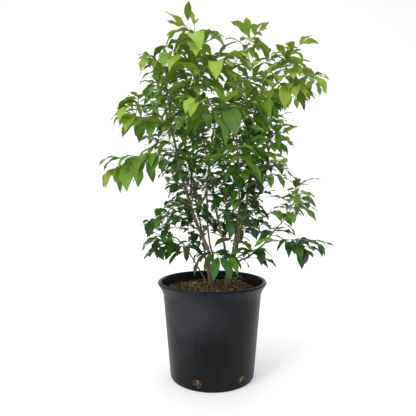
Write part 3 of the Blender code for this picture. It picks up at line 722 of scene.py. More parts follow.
# %% Sizes of the pot
# The pot: a turned wall that widens upwards, with a flared shoulder and a rolled lip
POT_HEIGHT = 0.241
LIP_RADIUS = 0.1385
LIP_WIDTH = 0.009
LIP_DEPTH = 0.0095
LIP_TURN = 240
SHOULDER_RADIUS = 0.1245
SHOULDER_Z = 0.207
SHOULDER_CURVE = 1.4
LEDGE_Z = 0.218
FOOT_RADIUS = 0.106
FOOT_ROUND = 0.004
WALL = 0.002
POT_STEPS = 36
print("the wall is", 1000 * WALL, "mm thick and", POT_HEIGHT, "m tall")

# %% Turned profiles
# Finer points and rings for the surface that is seen
FINE = 4
FINE_STEPS = 144
PLAIN_FLARE = (0.75, 0.4, 0)
FINE_FLARE = np.linspace(0.95, 0, 12)
WALL_RINGS = 40
FINE_MIX_STEPS = 120


def wall_radius(z):
    """The outer radius of the plain wall at a height."""
    return FOOT_RADIUS + (SHOULDER_RADIUS - FOOT_RADIUS) * z / SHOULDER_Z


def arc(radius, z, across, up, first, last, count):
    """Points on an upright oval about a centre, between two angles in degrees."""
    angles = np.radians(np.linspace(first, last, count))
    return [(radius + across * np.cos(angle), z + up * np.sin(angle)) for angle in angles]


def pot_profile(fine=1):
    """Its floor, inner wall, ledge, rolled lip, flared shoulder, outer wall, rounded foot and underside."""
    floor = wall_radius(WALL + FOOT_ROUND) - WALL
    inside = [(0, WALL), (floor - FOOT_ROUND, WALL), (floor, WALL + FOOT_ROUND)]
    inside.append((wall_radius(LEDGE_Z) - WALL, LEDGE_Z))
    roll = (LIP_RADIUS - LIP_WIDTH / 2, POT_HEIGHT - LIP_DEPTH / 2)
    lip = arc(*roll, LIP_WIDTH / 2, LIP_DEPTH / 2, 180, 180 - LIP_TURN, 6 * fine + 1)
    under_radius, under_z = lip[-1]
    flare = []
    for share in PLAIN_FLARE if fine == 1 else FINE_FLARE:
        out = (under_radius - SHOULDER_RADIUS) * share**SHOULDER_CURVE
        flare.append((SHOULDER_RADIUS + out, SHOULDER_Z + (under_z - SHOULDER_Z) * share))
    rings = [] if fine == 1 else np.linspace(SHOULDER_Z, FOOT_ROUND, WALL_RINGS + 2)[1:-1]
    wall = [(wall_radius(z), z) for z in rings]
    foot = arc(FOOT_RADIUS - FOOT_ROUND, FOOT_ROUND, FOOT_ROUND, FOOT_ROUND, 0, -90, 2 * fine + 1)
    return inside + lip + flare + wall + foot + [(0, 0)]


def mix_profile():
    """The mix fills the pot, clear of its floor and wall. The points run from its top down to its base."""
    clear = WALL + CLEAR / np.cos(np.pi / POT_STEPS)
    low = WALL + CLEAR + FOOT_ROUND
    return [
        (0, SOIL_Z),
        (SOIL_LEVEL_RADIUS, SOIL_Z),
        (wall_radius(SOIL_EDGE_Z) - clear, SOIL_EDGE_Z),
        (wall_radius(low) - clear, low),
        (wall_radius(low) - clear - FOOT_ROUND, WALL + CLEAR),
        (0, WALL + CLEAR),
    ]


print(len(pot_profile(FINE)), "points in the pot's fine profile")

# %% [markdown]
# The plant of the solids is planned again. The same seeds give the same limbs, twigs and leaves.

# %% Plan the plant
crowd = Crowd()
crowd.add(Solid("pot", *turned(pot_profile(), POT_STEPS)))
crowd.add(Solid("potting_mix", *turned(mix_profile(), POT_STEPS)))
limbs = plan_limbs(crowd)
twigs = plan_twigs(limbs, crowd)
leaves = plan_leaves(twigs, crowd)
counts = [sum(map(len, grown.values())) for grown in (twigs, leaves)]
print(len(limbs), "limbs,", counts[0], "twigs and", counts[1], "leaves")

# %% [markdown]
# A real bush is denser than the solids: small leaves fill the room between the large ones. Each twig
# gets smaller pairs between its own, and short fine twigs with two pairs each, and the limbs get leafy
# shoots. All of it stays in the box of its own mass or beside its limb, and out of the gaps where the
# sky shows.

# %% Finer growth
FILL_SCALE = 0.62
FINE_STEP = 0.012
FINE_LENGTHS = (0.020, 0.050)
FINE_THICK = 0.8 * MM
FINE_THIN = 0.45 * MM
FINE_ROOM = 0.6 * MM
FINE_SCALE = 0.60
FINE_LEAF = 0.058
FINE_SPREAD = 0.30
ROUNDS = 4
REACH = 4 * MM
SKY = [(0.135, 0.195, 0.43, 0.53), (-0.28, -0.14, 0.395, 0.435), (0.018, 0.090, 0.835, 0.95)]
BESIDE = np.array([0.065, 0.065, 0.015])
FINE_OUT = 0.8
FINE_ON = 0.5
FINE_PAIRS = (0.5, 1)
SHOOT_PAIRS = (0.35, 0.7, 1)
SHOOT_LENGTHS = (0.030, 0.085)
FINE_SPAN = (0.12, 0.95)
SHOOT_STEP = 0.010
SHOOT_LEAF = 0.098
SHOOT_DROOP = 80
SHOOT_SPAN = (0.15, 0.97)
SHOOT_LOW = 0.22
SHOOT_RAMP = 0.22
FINE_SEED = 3000
END_GAP = 2 * MM
AT_END = 0.9
FINE_RISES = (-15, 60)
PLACE_SPREAD = (0.2, 0.8)
QUARTER = 90
FINE_TURN = 40
print("fine twigs are", FINE_LENGTHS, "m long")

# %% Sprays and their room


@dataclass
class Spray:
    """One twig with the leaves on it, and whether each leaf is at its end."""

    mass: Mass
    route: Route
    leaves: list
    ends: list
    fine: bool
    young: bool = False


def boxes():
    """The space that each mass's own twigs and leaves take, and the space beside each limb."""
    made = {}
    for mass in MASSES:
        corners = [route.points for route in twigs[mass.name]]
        corners = np.vstack(corners + [leaf(*found)[0] for found in leaves[mass.name]])
        made[mass.name] = corners.min(axis=0) - REACH, corners.max(axis=0) + REACH
    for name, route in limbs.items():
        made[name] = route.points.min(axis=0) - BESIDE, route.points.max(axis=0) + BESIDE
    low, high = (np.array(corner) for corner in CAD_BOX)
    return {name: (np.maximum(box[0], low), np.minimum(box[1], high)) for name, box in made.items()}


def inside(solid):
    """Whether all of a solid is in its owner's box, and its middle outside the gaps that show the sky."""
    low, high = reach_of[solid.owner]
    x, _, z = solid.corners.mean(axis=0)
    if any(left < x < right and bottom < z < top for left, right, bottom, top in SKY):
        return False
    return bool(np.all(solid.corners > low) and np.all(solid.corners < high))


print(len(SKY), "gaps show the sky")

# %% Ways for finer growth


def grow_pair(spray, share, turned_by, scale, homes, chance):
    """Hang a pair of leaves on a spray's twig, each one where there is room within its owner's box."""
    for side in (1, -1):
        for _ in range(ROUNDS):
            ways = leaf_ways(spray.mass, spray.route, share, side, turned_by, scale, homes, chance)
            found = crowd.first_free(way for way in ways if inside(way[0]))
            if found:
                spray.leaves.append(found)
                spray.ends.append(share > AT_END)
                crowd.add(Solid(spray.mass.name, *leaf(*found)))
                break


def fine_ways(owner, route, share, lengths, chance):
    """Ways to send out one short fine twig, to any side and a little upwards."""
    point, direction, radius = route.at(share)
    for _ in range(TRIES):
        out = square_to(aim(chance.uniform(0, 360), chance.uniform(*FINE_RISES)), direction)
        length = chance.uniform(*lengths)
        tip = point + length * unit(FINE_OUT * out + FINE_ON * direction)
        points = arched(point, tip, SIDE_BOW * length * UP, 2)
        thick = min(TWIG_SHARE * radius, FINE_THICK)
        fine = Route(points, np.linspace(thick, FINE_THIN, len(points)))
        whole = Solid(owner, *tube(points, fine.radii + FINE_ROOM, 3))
        outer = Solid(owner, *tube(points[1:], fine.radii[1:] + FINE_ROOM, 3))
        yield whole, outer, fine


print("a fine twig goes", FINE_OUT, "out for each", FINE_ON, "on")

# %% Sprays of the solids, and fillers


def own_sprays():
    """The sprays that the solids have: each leaf goes with the nearest twig of its mass."""
    made = []
    for mass in MASSES:
        own = [Spray(mass, route, [], [], False) for route in twigs[mass.name]]
        for found in leaves[mass.name]:
            gaps = [min(np.linalg.norm(spray.route.points - found[0], axis=1)) for spray in own]
            spray = own[int(np.argmin(gaps))]
            spray.leaves.append(found)
            spray.ends.append(np.linalg.norm(spray.route.points[-1] - found[0]) < END_GAP)
        made += own
    return made


def fill_sprays(sprays, homes):
    """Smaller pairs half way between the pairs that a twig has."""
    for number, spray in enumerate(sprays):
        chance = random.Random(FINE_SEED + number)
        pairs, bare = spray.mass.side_pairs + 1, SIDE_BARE
        if spray.route is twigs[spray.mass.name][0]:
            pairs, bare = spray.mass.pairs, spray.mass.bare
        for pair in range(pairs - 1):
            share = bare + (1 - bare) * (pair + 0.5) / (pairs - 1)
            turned_by = spray.mass.phase + QUARTER * pair + QUARTER / 2
            grow_pair(spray, share, turned_by, FILL_SCALE, homes, chance)


print(FILL_SCALE, "is the size of a filler beside its twig's leaves")

# %% [markdown]
# Fine twigs come off the twigs of the solids, and leafy shoots come off the limbs, more of them higher
# up. They could be set at random, but even steps with a little jitter leave no bald places. What finds
# no room is left out.

# %% Fine twigs


def fine_sprays(carriers, homes):
    """Short fine twigs along each carrier, with a few pairs of small leaves."""
    made = []
    for number, (mass, route, step, span, lengths, pairs) in enumerate(carriers):
        chance = random.Random(2 * FINE_SEED + number)
        count = int(route.length * (span[1] - span[0]) / step)
        for index in range(count):
            share = span[0] + (span[1] - span[0]) * (index + chance.uniform(*PLACE_SPREAD)) / count
            height = route.at(share)[0][2]
            if mass.name in limbs and chance.random() > (height - SHOOT_LOW) / SHOOT_RAMP:
                continue
            ways = fine_ways(mass.name, route, share, lengths, chance)
            fine = crowd.first_free(way for way in ways if inside(way[0]))
            if fine:
                crowd.add(Solid(mass.name, *tube(fine.points, fine.radii, 3)))
                spray = Spray(mass, fine, [], [], True)
                for pair, place in enumerate(pairs):
                    turned_by = QUARTER * pair + chance.uniform(-FINE_TURN, FINE_TURN)
                    scale = max(FINE_SCALE, FINE_LEAF / mass.leaf)
                    grow_pair(spray, place, turned_by, scale, homes, chance)
                made.append(spray)
    return made


print("one fine twig or none at each", FINE_STEP, "m")

# %% [markdown]
# Three tiny young plants stand in the mix beside the trunks. Nothing is near them, so they need no
# search for room: each is one short twig with crossed pairs of leaves.

# %% Sprouts
SPROUTS = [(0.046, -0.008, 0.042), (0.060, 0.006, 0.030), (-0.050, -0.040, 0.020)]
SPROUT_LEAF = 0.017
SPROUT_PAIRS = 4
SPROUT_LEAN = np.array([0.15, -0.1, 1])
SPROUT_BOW = 0.1
SPROUT_RADII = (0.8 * MM, 0.4 * MM)
SPROUT_FIRST = 0.4
SPROUT_NEXT = 0.2
SPROUT_TURN = 25
SPROUT_RISES = (15, 50)
SPROUT_LENGTHS = (0.6, 1.1)
SPROUT_DROOP = 60


def sprout(x, y, height, chance):
    """A short arch up from the mix, with pairs of tiny leaves at even shares of its length."""
    base = np.array([x, y, SOIL_Z - 2 * MM])
    points = arched(base, base + height * SPROUT_LEAN, SPROUT_BOW * height * UP, 3)
    route = Route(points, np.linspace(*SPROUT_RADII, len(points)))
    spray = Spray(MASSES[0], route, [], [], True, True)
    for pair in range(SPROUT_PAIRS):
        point = route.at(SPROUT_FIRST + SPROUT_NEXT * pair)[0]
        for side in (0, 180):
            azimuth = QUARTER * pair + side + chance.uniform(-SPROUT_TURN, SPROUT_TURN)
            out = aim(azimuth, chance.uniform(*SPROUT_RISES))
            length = SPROUT_LEAF * chance.uniform(*SPROUT_LENGTHS)
            spray.leaves.append((point, out, length, SPROUT_DROOP, 0))
            spray.ends.append(True)
    return spray


print(len(SPROUTS), "sprouts in the mix")

# %% Grow the rest
reach_of = boxes()
homes = homes_of({**twigs, **{name: [route] for name, route in limbs.items()}})
sprays = own_sprays()
fill_sprays(sprays, homes)
carriers = [(mass, route, max(FINE_STEP, FINE_SPREAD * mass.leaf), FINE_SPAN, FINE_LENGTHS, FINE_PAIRS)
            for mass in MASSES for route in twigs[mass.name]]
for name, route in limbs.items():
    shoots = Mass(name, name, 1, tuple(route.points[-1]), leaf=SHOOT_LEAF, droop=SHOOT_DROOP, end_droop=0.6)
    carriers.append((shoots, route, SHOOT_STEP, SHOOT_SPAN, SHOOT_LENGTHS, SHOOT_PAIRS))
sprays += fine_sprays(carriers, homes)
sprays += [sprout(*place, random.Random(number)) for number, place in enumerate(SPROUTS)]
print(len(sprays), "sprays with", sum(len(spray.leaves) for spray in sprays), "leaves")

# %% [markdown]
# A piece is made in one go from arrays of corners and faces. Its place is in its mesh, so its object stays
# at the origin. Operators could model it too, but arrays are exact, and quick for thousands of leaves.
# Every piece rides on the one body.

# %% Pieces from arrays


def smooth_mesh(name, corners, faces, finish=None):
    """A mesh from corners and faces, shaded smooth."""
    mesh = bpy.data.meshes.new(name)
    mesh.from_pydata(corners.tolist(), [], faces)
    mesh.polygons.foreach_set("use_smooth", np.ones(len(mesh.polygons), dtype=bool))
    if finish:
        mesh.materials.append(finish)
    return mesh


def into_scene(name, data):
    """A new object at the origin that shows a mesh, a lamp or a camera."""
    made = bpy.data.objects.new(name, data)
    bpy.context.scene.collection.objects.link(made)
    return made


def piece(name, corners, faces, finish, slot, uv=None, tint=None):
    """One piece of the plant, with a UV pair and a tint for each corner if they are given."""
    mesh = smooth_mesh(name, corners, faces, finish)
    if uv is not None:
        loops = np.empty(len(mesh.loops), dtype=np.int32)
        mesh.loops.foreach_get("vertex_index", loops)
        mesh.uv_layers.new(name="UVMap").data.foreach_set("uv", uv[loops].astype(np.float32).ravel())
    if tint is not None:
        mesh.attributes.new("tint", "FLOAT", "POINT").data.foreach_set("value", tint.astype(np.float32))
    made = into_scene(name, mesh)
    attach(made, "root")
    print(name, len(mesh.polygons), "faces")
    return made


def joined(parts):
    """One set of corners and faces from several, each with its own arrays of faces."""
    offset, corners, faces = 0, [], []
    for points, groups in parts:
        corners.append(points)
        for group in groups:
            faces += (group + offset).tolist()
        offset += len(points)
    return np.vstack(corners), faces


# %% [markdown]
# A finish is a node tree. Dozens of Math nodes drawn by hand are hard to read, so a small class wraps a
# socket: adding or multiplying two of them adds the node. Every other node comes from one method.

# %% Values


class Value:
    """A socket of a finish that takes part in plain arithmetic: each operator adds one Math node."""

    def __init__(self, finish, socket):
        self.finish, self.socket = finish, socket

    def __add__(self, other):
        return self.finish.math("ADD", self, other)

    def __sub__(self, other):
        return self.finish.math("SUBTRACT", self, other)

    def __rsub__(self, other):
        return self.finish.math("SUBTRACT", other, self)

    def __mul__(self, other):
        return self.finish.math("MULTIPLY", self, other)

    def __truediv__(self, other):
        return self.finish.math("DIVIDE", self, other)

    def within(self):
        """The value kept between 0 and 1."""
        return self.finish.math("ADD", self, 0, clamp=True)

    __radd__, __rmul__ = __add__, __mul__


print("a value takes +, -, * and /, also as in 1 - mask")

# %% Finishes


class Finish:
    """One material, built on its Principled shader."""

    def __init__(self, name, sockets):
        self.material = bpy.data.materials.new(name)
        self.material.use_nodes = True
        self.tree = self.material.node_tree
        self.set(sockets)

    def set(self, sockets):
        """Give sockets of the Principled shader a value or a link."""
        for key, value in sockets.items():
            self.feed(self.tree.nodes["Principled BSDF"].inputs[key], value)

    def feed(self, socket, value):
        """Link a value into a socket, or set a plain number, colour or vector on it."""
        if isinstance(value, Value):
            self.tree.links.new(value.socket, socket)
        elif socket.type == "RGBA":
            socket.default_value = (*value, 1)
        else:
            socket.default_value = value

    def node(self, kind, settings, sockets, output=0):
        """Any node: its type, its settings, then its sockets' values or links. Gives one of its outputs."""
        made = self.tree.nodes.new(kind)
        for key, value in settings.items():
            setattr(made, key, value)
        for key, value in sockets.items():
            self.feed(made.inputs[key], value)
        return Value(self, made.outputs[output])

    def math(self, operation, first, second=0.0, clamp=False):
        """One Math node on two values or numbers."""
        settings = {"operation": operation, "use_clamp": clamp}
        return self.node("ShaderNodeMath", settings, {0: first, 1: second})

    def mix(self, share, first, second):
        """A colour between two."""
        return self.node("ShaderNodeMix", {"data_type": "RGBA"}, {0: share, 6: first, 7: second}, 2)

    def noise(self, scale, detail=3, stretch=(1, 1, 1)):
        """Cloudy noise over the object's own coordinates, about 0.5 on average."""
        place = self.node("ShaderNodeTexCoord", {}, {}, "Object")
        turned_to = self.node("ShaderNodeMapping", {}, {"Vector": place, "Scale": stretch})
        return self.node("ShaderNodeTexNoise", {}, {"Vector": turned_to, "Scale": scale, "Detail": detail})

    def spread(self, value, gain):
        """A noise value spread about its middle and kept between 0 and 1."""
        return ((value - 0.5) * gain + 0.5).within()

    def near(self, point, radius):
        """1 at a point, falling to 0 at a radius."""
        place = self.node("ShaderNodeTexCoord", {}, {}, "Object")
        settings = {"operation": "DISTANCE"}
        distance = self.node("ShaderNodeVectorMath", settings, {0: place, 1: point}, "Value")
        return (1 - distance / radius).within()

    def bump(self, height, strength, distance):
        """Let a height value tilt the shading, as if the surface rose by that much of the distance."""
        sockets = {"Height": height, "Strength": strength, "Distance": distance}
        self.set({"Normal": self.node("ShaderNodeBump", {}, sockets, "Normal")})


print("a finish can", *(name for name in vars(Finish) if name[0] != "_"))

# %% [markdown]
# A leaf's midrib and side veins are paler, and follow it wherever it bends, so they are drawn on its own UV
# map. A tint that differs from leaf to leaf breaks up the green. Young leaves at the tips are yellow-green.
# Leaves low down, inside and at the back are painted darker as shade, and those high, outside and in front
# are painted lighter as light, so there are five tones, which are dealt out by spray.

# %% Leaf finishes
LEAF_TONES = {
    "dark": (0.018, 0.056, 0.011),
    "deep": (0.033, 0.096, 0.014),
    "mid": (0.064, 0.155, 0.017),
    "bright": (0.118, 0.232, 0.021),
    "tip": (0.210, 0.320, 0.030),
}
SIDE_VEINS = 11
VEIN_SLANT = 2.2
MIDRIB_REACH = 0.09
VEIN_REACH = 0.10
VEIN_FAINT = 0.5
VEIN_PALE = 0.62
SHADES = (0.68, 1.32)
PALER = 1.5
PALE_YELLOW = (0.03, 0.03, 0.01)


def leaf_finish(name, colour):
    """A softly shining leaf that glows faintly in its own colour, as painted light through it, whose midrib
    and side veins are paler and stand a little proud.
    """
    colour = np.array(colour)
    # The faint emission in the leaf's own colour is painted light, standing in for light that shines
    # through the leaf
    finish = Finish(name, {"Specular IOR Level": 0.22, "Emission Strength": 0.08})
    uv = finish.node("ShaderNodeTexCoord", {}, {}, "UV")
    across = finish.node("ShaderNodeSeparateXYZ", {}, {"Vector": uv}, "X")
    along = finish.node("ShaderNodeSeparateXYZ", {}, {"Vector": uv}, "Y")
    side = finish.math("ABSOLUTE", across * 2 - 1)
    midrib = (1 - side / MIDRIB_REACH).within()
    slanted = finish.math("PINGPONG", along * SIDE_VEINS - side * VEIN_SLANT, 0.5)
    side_veins = (1 - slanted / VEIN_REACH).within() * VEIN_FAINT
    veins = finish.math("MAXIMUM", midrib, side_veins)
    cloud = finish.noise(55)
    tint = finish.node("ShaderNodeAttribute", {"attribute_name": "tint"}, {}, "Fac")
    shade = ((cloud - 0.5) * 1.2 + tint + 0.5).within()
    body = finish.mix(shade, *(tuple(share * colour) for share in SHADES))
    paler = tuple(PALER * colour + PALE_YELLOW)
    skin = finish.mix(veins * VEIN_PALE, body, paler)
    finish.set({"Base Color": skin, "Emission Color": skin, "Roughness": 0.36 + cloud * 0.16})
    finish.bump(veins * 0.8 - finish.noise(420, 2) * 0.5, 0.5, 0.0008)
    return finish.material


leaf_finishes = [leaf_finish(f"leaf_{tone}", colour) for tone, colour in LEAF_TONES.items()]
print(len(leaf_finishes), "leaf finishes")

# %% [markdown]
# Young bark is grey-tan on thick limbs and dark brown on thin ones, with fine fissures along the stem.
# Noise that is drawn out along Z gives both the clouds and the fissures, and needs no map.

# %% Bark finishes
CLOUD_STRETCH = (1, 1, 0.25)
FISSURE_STRETCH = (1, 1, 0.12)


def bark_finish(name, dark, light, rough=0.85):
    """Young bark: two browns in drawn-out clouds, with fine fissures along the stem."""
    finish = Finish(name, {"Specular IOR Level": 0.3})
    clouds = finish.spread(finish.noise(90, 4, CLOUD_STRETCH), 2.6)
    fissures = finish.noise(650, 3, FISSURE_STRETCH)
    finish.set({"Base Color": finish.mix(clouds * 0.75 + fissures * 0.3, dark, light), "Roughness": rough})
    finish.bump(fissures + clouds * 0.5, 0.6, 0.0007)
    return finish.material


thick_bark = bark_finish("grey_tan_bark", (0.075, 0.058, 0.036), (0.34, 0.28, 0.185))
thin_bark = bark_finish("brown_bark", (0.022, 0.017, 0.010), (0.135, 0.105, 0.058))
twig_bark = bark_finish("green_brown_twig", (0.060, 0.060, 0.022), (0.20, 0.22, 0.070), 0.6)
print(thick_bark.name, thin_bark.name, twig_bark.name)

# %% [markdown]
# The pot's plastic is nearly black, with clouds of dust that change its sheen. The dust is noise. Near a
# point under the lip on the left it is raised into a painted sheen, and near another point in front it is
# taken out to leave a painted dark reflection. The mix is noise between two browns.

# %% Pot and mix finishes
# Where a painted sheen sits on the pot's wall, and where a painted dark reflection sits, with how far each
# reaches
PAINTED_SHEEN_SPOT = (-0.075, -0.090, 0.185)
PAINTED_SHEEN_REACH = 0.12
PAINTED_DARK_SPOT = (0.010, -0.115, 0.095)
PAINTED_DARK_REACH = 0.070
STREAK_STRETCH = (1, 1, 0.10)


def pot_finish():
    """Moulded black plastic: pale dust, raised into a painted sheen on the left under the lip and taken out
    for a painted dark reflection in front, a sheen that varies with the dust, and a fine grain."""
    finish = Finish("nursery_plastic", {"Specular IOR Level": 0.14})
    dust = finish.spread(finish.noise(11, 5), 2.4)
    streaks = finish.spread(finish.noise(48, 4, STREAK_STRETCH), 2.2)
    # Painted light: near one point the dust is raised into a painted sheen, and near another it is taken
    # out for a painted dark reflection
    dust_and_painted_sheen = dust * (0.24 + finish.near(PAINTED_SHEEN_SPOT, PAINTED_SHEEN_REACH) * 1.7) + streaks * 0.20
    dust_and_painted_sheen = (dust_and_painted_sheen * (1 - finish.near(PAINTED_DARK_SPOT, PAINTED_DARK_REACH))).within()
    finish.set({
        "Base Color": finish.mix(dust_and_painted_sheen, (0.0022, 0.0025, 0.0028), (0.0230, 0.0255, 0.0330)),
        "Roughness": 0.30 + dust_and_painted_sheen * 0.26,
    })
    finish.bump(finish.noise(900, 2) * 0.6 + finish.noise(30, 3) * 0.8, 0.12, 0.0008)
    return finish.material


def mix_finish(name, dark, light):
    """Shredded bark: browns in small clouds with a rough grain."""
    finish = Finish(name, {"Roughness": 0.95, "Specular IOR Level": 0.2})
    clouds = finish.spread(finish.noise(260, 4), 3.0)
    finish.set({"Base Color": finish.mix(clouds, dark, light)})
    finish.bump(finish.noise(700, 4), 0.9, 0.0012)
    return finish.material


plastic = pot_finish()
loose_mix = mix_finish("loose_mix", (0.020, 0.012, 0.008), (0.130, 0.078, 0.042))
CHIP_COLOURS = {
    "chips_dark": ((0.022, 0.014, 0.010), (0.070, 0.042, 0.026)),
    "chips_brown": ((0.060, 0.036, 0.021), (0.190, 0.118, 0.064)),
    "chips_tan": ((0.190, 0.120, 0.058), (0.470, 0.330, 0.170)),
}
print(plastic.name, loose_mix.name, *CHIP_COLOURS)

# %% [markdown]
# The real pot has six oval holes at its foot, to drain it. They could be left open in the grid of the
# wall, but a Boolean with six plugs is simpler and cuts a clean edge. Its result is kept as the mesh.

# %% The plugs for the holes
# Drain holes at the foot of the wall
HOLES = 6
FIRST_HOLE = 40
HOLE_WIDTH = 0.025
HOLE_HEIGHT = 0.019
HOLE_Z = 0.020
DRILL_DEPTH = 0.03
PLUG_SIDES = 40
SHARP_ANGLE = 40


def hole_angles():
    """The azimuth of each drain hole."""
    return [np.radians(FIRST_HOLE + index * 360 / HOLES - 90) for index in range(HOLES)]


def drill(angle):
    """An oval plug across the wall, as corners and faces."""
    round_by = 2 * np.pi * np.arange(PLUG_SIDES) / PLUG_SIDES
    width = HOLE_WIDTH / 2 * np.cos(round_by)
    height = HOLE_Z + HOLE_HEIGHT / 2 * np.sin(round_by)
    side = np.stack([width, height], axis=-1)
    reach = wall_radius(HOLE_Z) + np.array([-DRILL_DEPTH / 2, DRILL_DEPTH / 2])
    out, along = np.array([np.cos(angle), np.sin(angle)]), np.array([-np.sin(angle), np.cos(angle)])
    rings = [np.column_stack([radius * out + side[:, :1] * along, side[:, 1]]) for radius in reach]
    here = np.arange(PLUG_SIDES)
    caps = [here[::-1].tolist(), (here + PLUG_SIDES).tolist()]
    return np.vstack(rings), ring_quads(2, PLUG_SIDES).tolist() + caps


print(HOLES, "holes at", np.degrees(hole_angles()).round())

# %% The pot


def bored(made):
    """Cut the drain holes and keep the result as the mesh, with its sharp edges marked."""
    cutters = bpy.data.collections.new("drills")
    bpy.context.scene.collection.children.link(cutters)
    for index, angle in enumerate(hole_angles()):
        name = f"drill_{index}"
        cutters.objects.link(bpy.data.objects.new(name, smooth_mesh(name, *drill(angle))))
    cut = made.modifiers.new("drain holes", "BOOLEAN")
    cut.operand_type, cut.collection = "COLLECTION", cutters
    cut.operation, cut.solver = "DIFFERENCE", "EXACT"
    graph = bpy.context.evaluated_depsgraph_get()
    mesh = bpy.data.meshes.new_from_object(made.evaluated_get(graph))
    made.modifiers.clear()
    made.data = mesh
    for cutter in list(cutters.objects):
        bpy.data.objects.remove(cutter)
    bpy.data.collections.remove(cutters)
    mesh.polygons.foreach_set("use_smooth", np.ones(len(mesh.polygons), dtype=bool))
    mesh.set_sharp_from_angle(angle=np.radians(SHARP_ANGLE))


pot_corners, pot_faces = turned(pot_profile(FINE), FINE_STEPS)
pot = piece("moulded_pot", pot_corners, pot_faces, plastic, "pot_plastic")
bored(pot)
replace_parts(pot, "pot")

# %% [markdown]
# Potting mix is shredded bark. A bumpy disc alone looks like mud, so loose chips of three browns lie
# over a lumpy surface, and show in the drain holes too. A chip is a box whose corners are moved at
# random.

# %% The potting mix
MIX_RINGS = 40
LUMP = 0.9 * MM
BROAD_LUMPS = (310, 270)
SLANTED_LUMPS = (640, 500)
SLANTED_SHARE = 0.6
LUMP_START = 2
LUMP_SINK = 1.0


def soil_height(radius):
    """Level in the middle, then falling in a straight line to the wall."""
    edge = wall_radius(SOIL_EDGE_Z) - WALL
    fall = np.clip((radius - SOIL_LEVEL_RADIUS) / (edge - SOIL_LEVEL_RADIUS), 0, 1)
    return SOIL_Z + (SOIL_EDGE_Z - SOIL_Z) * fall


def lumpy_mix():
    """The turned mix with finer rings, and a top that rises and falls by a sum of sines."""
    radii = np.linspace(0, mix_profile()[2][0], MIX_RINGS)[1:-1]
    top = [(0, SOIL_Z)] + [(radius, float(soil_height(radius))) for radius in radii]
    corners, faces = turned(top + mix_profile()[2:], FINE_MIX_STEPS)
    x, y, z = corners.T
    broad = np.sin(BROAD_LUMPS[0] * x + LUMP_START) * np.sin(BROAD_LUMPS[1] * y)
    lumps = broad + SLANTED_SHARE * np.sin(SLANTED_LUMPS[0] * x - SLANTED_LUMPS[1] * y) - LUMP_SINK
    corners[:, 2] = z + np.where(z > SOIL_EDGE_Z + MM, LUMP * lumps, 0)
    return corners, faces


print("the mix is", round(1000 * float(soil_height(0) - soil_height(1))), "mm lower at the wall")

# %% Chips of bark
CHIPS = 4200
CHIP_LONG = (3.0, 10.0)
CHIP_WIDE = (1.5, 4.5)
CHIP_DEEP = (0.7, 2.0)
CHIP_SHARES = (0.36, 0.40, 0.24)
CHIP_REACH = 0.117
CHIP_LIFT = (-0.6, 1.6)
CHIP_LEAN = 0.38
CHIP_CUT = (-0.45, 0.15)
HOLE_CHIPS = 70
HOLE_SPREAD = (0.42, 0.40)
CHIP_SEED = 7


def shards(centres, normals, chance):
    """Chips of bark: boxes with corners moved at random, spun about a normal and leaning a little."""
    count = len(centres)
    normal = normals + chance.normal(0, CHIP_LEAN, (count, 3))
    normal /= np.linalg.norm(normal, axis=1)[:, None]
    spin = chance.normal(0, 1, (count, 3))
    long_way = np.cross(normal, spin)
    long_way /= np.linalg.norm(long_way, axis=1)[:, None]
    wide_way = np.cross(normal, long_way)
    halves = [chance.uniform(*span, count) * MM / 2 for span in (CHIP_LONG, CHIP_WIDE, CHIP_DEEP)]
    signs = np.array([(x, y, z) for x in (-1, 1) for y in (-1, 1) for z in (-1, 1)])
    shape = signs * (1 + chance.uniform(*CHIP_CUT, (count, 8, 3)))
    corners = centres[:, None] + sum(
        shape[:, :, axis : axis + 1] * halves[axis][:, None, None] * way[:, None]
        for axis, way in enumerate((long_way, wide_way, normal))
    )
    box = np.array([(0, 1, 3, 2), (4, 6, 7, 5), (0, 4, 5, 1), (2, 3, 7, 6), (0, 2, 6, 4), (1, 5, 7, 3)])
    return corners.reshape(-1, 3), (box + 8 * np.arange(count)[:, None, None]).reshape(-1, 4).tolist()


def chip_places(chance):
    """Centres and normals of the chips: over the top of the mix, and in each drain hole."""
    radius = CHIP_REACH * np.sqrt(chance.uniform(0, 1, CHIPS))
    angle = chance.uniform(0, 2 * np.pi, CHIPS)
    height = soil_height(radius) + chance.uniform(*CHIP_LIFT, CHIPS) * MM
    top = np.column_stack([radius * np.cos(angle), radius * np.sin(angle), height])
    places, normals = [top], [np.tile(UP, (CHIPS, 1))]
    for hole in hole_angles():
        spot = chance.uniform(-1, 1, (HOLE_CHIPS, 2))
        turn = hole + spot[:, 0] * HOLE_SPREAD[0] * HOLE_WIDTH / FOOT_RADIUS
        z = HOLE_Z + spot[:, 1] * HOLE_SPREAD[1] * HOLE_HEIGHT
        reach = wall_radius(z) - WALL - 0.5 * MM
        places.append(np.column_stack([reach * np.cos(turn), reach * np.sin(turn), z]))
        normals.append(np.column_stack([np.cos(turn), np.sin(turn), 0 * turn]))
    return np.vstack(places), np.vstack(normals)


print(CHIPS, "chips on top and", HOLES * HOLE_CHIPS, "in the holes")

# %% The mix and its chips
mix = piece("lumpy_mix", *lumpy_mix(), loose_mix, "potting_mix")
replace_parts(mix, "potting_mix")
chance = np.random.default_rng(CHIP_SEED)
centres, normals = chip_places(chance)
kind = chance.choice(len(CHIP_SHARES), len(centres), p=CHIP_SHARES)
for index, (name, colours) in enumerate(CHIP_COLOURS.items()):
    own = kind == index
    chips = shards(centres[own], normals[own], chance)
    piece(name, *chips, mix_finish(name + "_finish", *colours), "potting_mix")

# %% [markdown]
# Stems and twigs are round and taper, with ridges, and a swelling at each bud. A bevelled curve would be
# too smooth, so rings of corners are carried along an eased path, and their radius is a sum of sines.

# %% Stem surfaces
BUD_GAP = 0.034
BUD_LENGTH = 0.0028
BUD_SWELL = 0.16
BUD_SHIFT = 0.004
RIDGES = ((0.5, 3, 90), (0.35, 5, -170), (0.3, 8, 620))


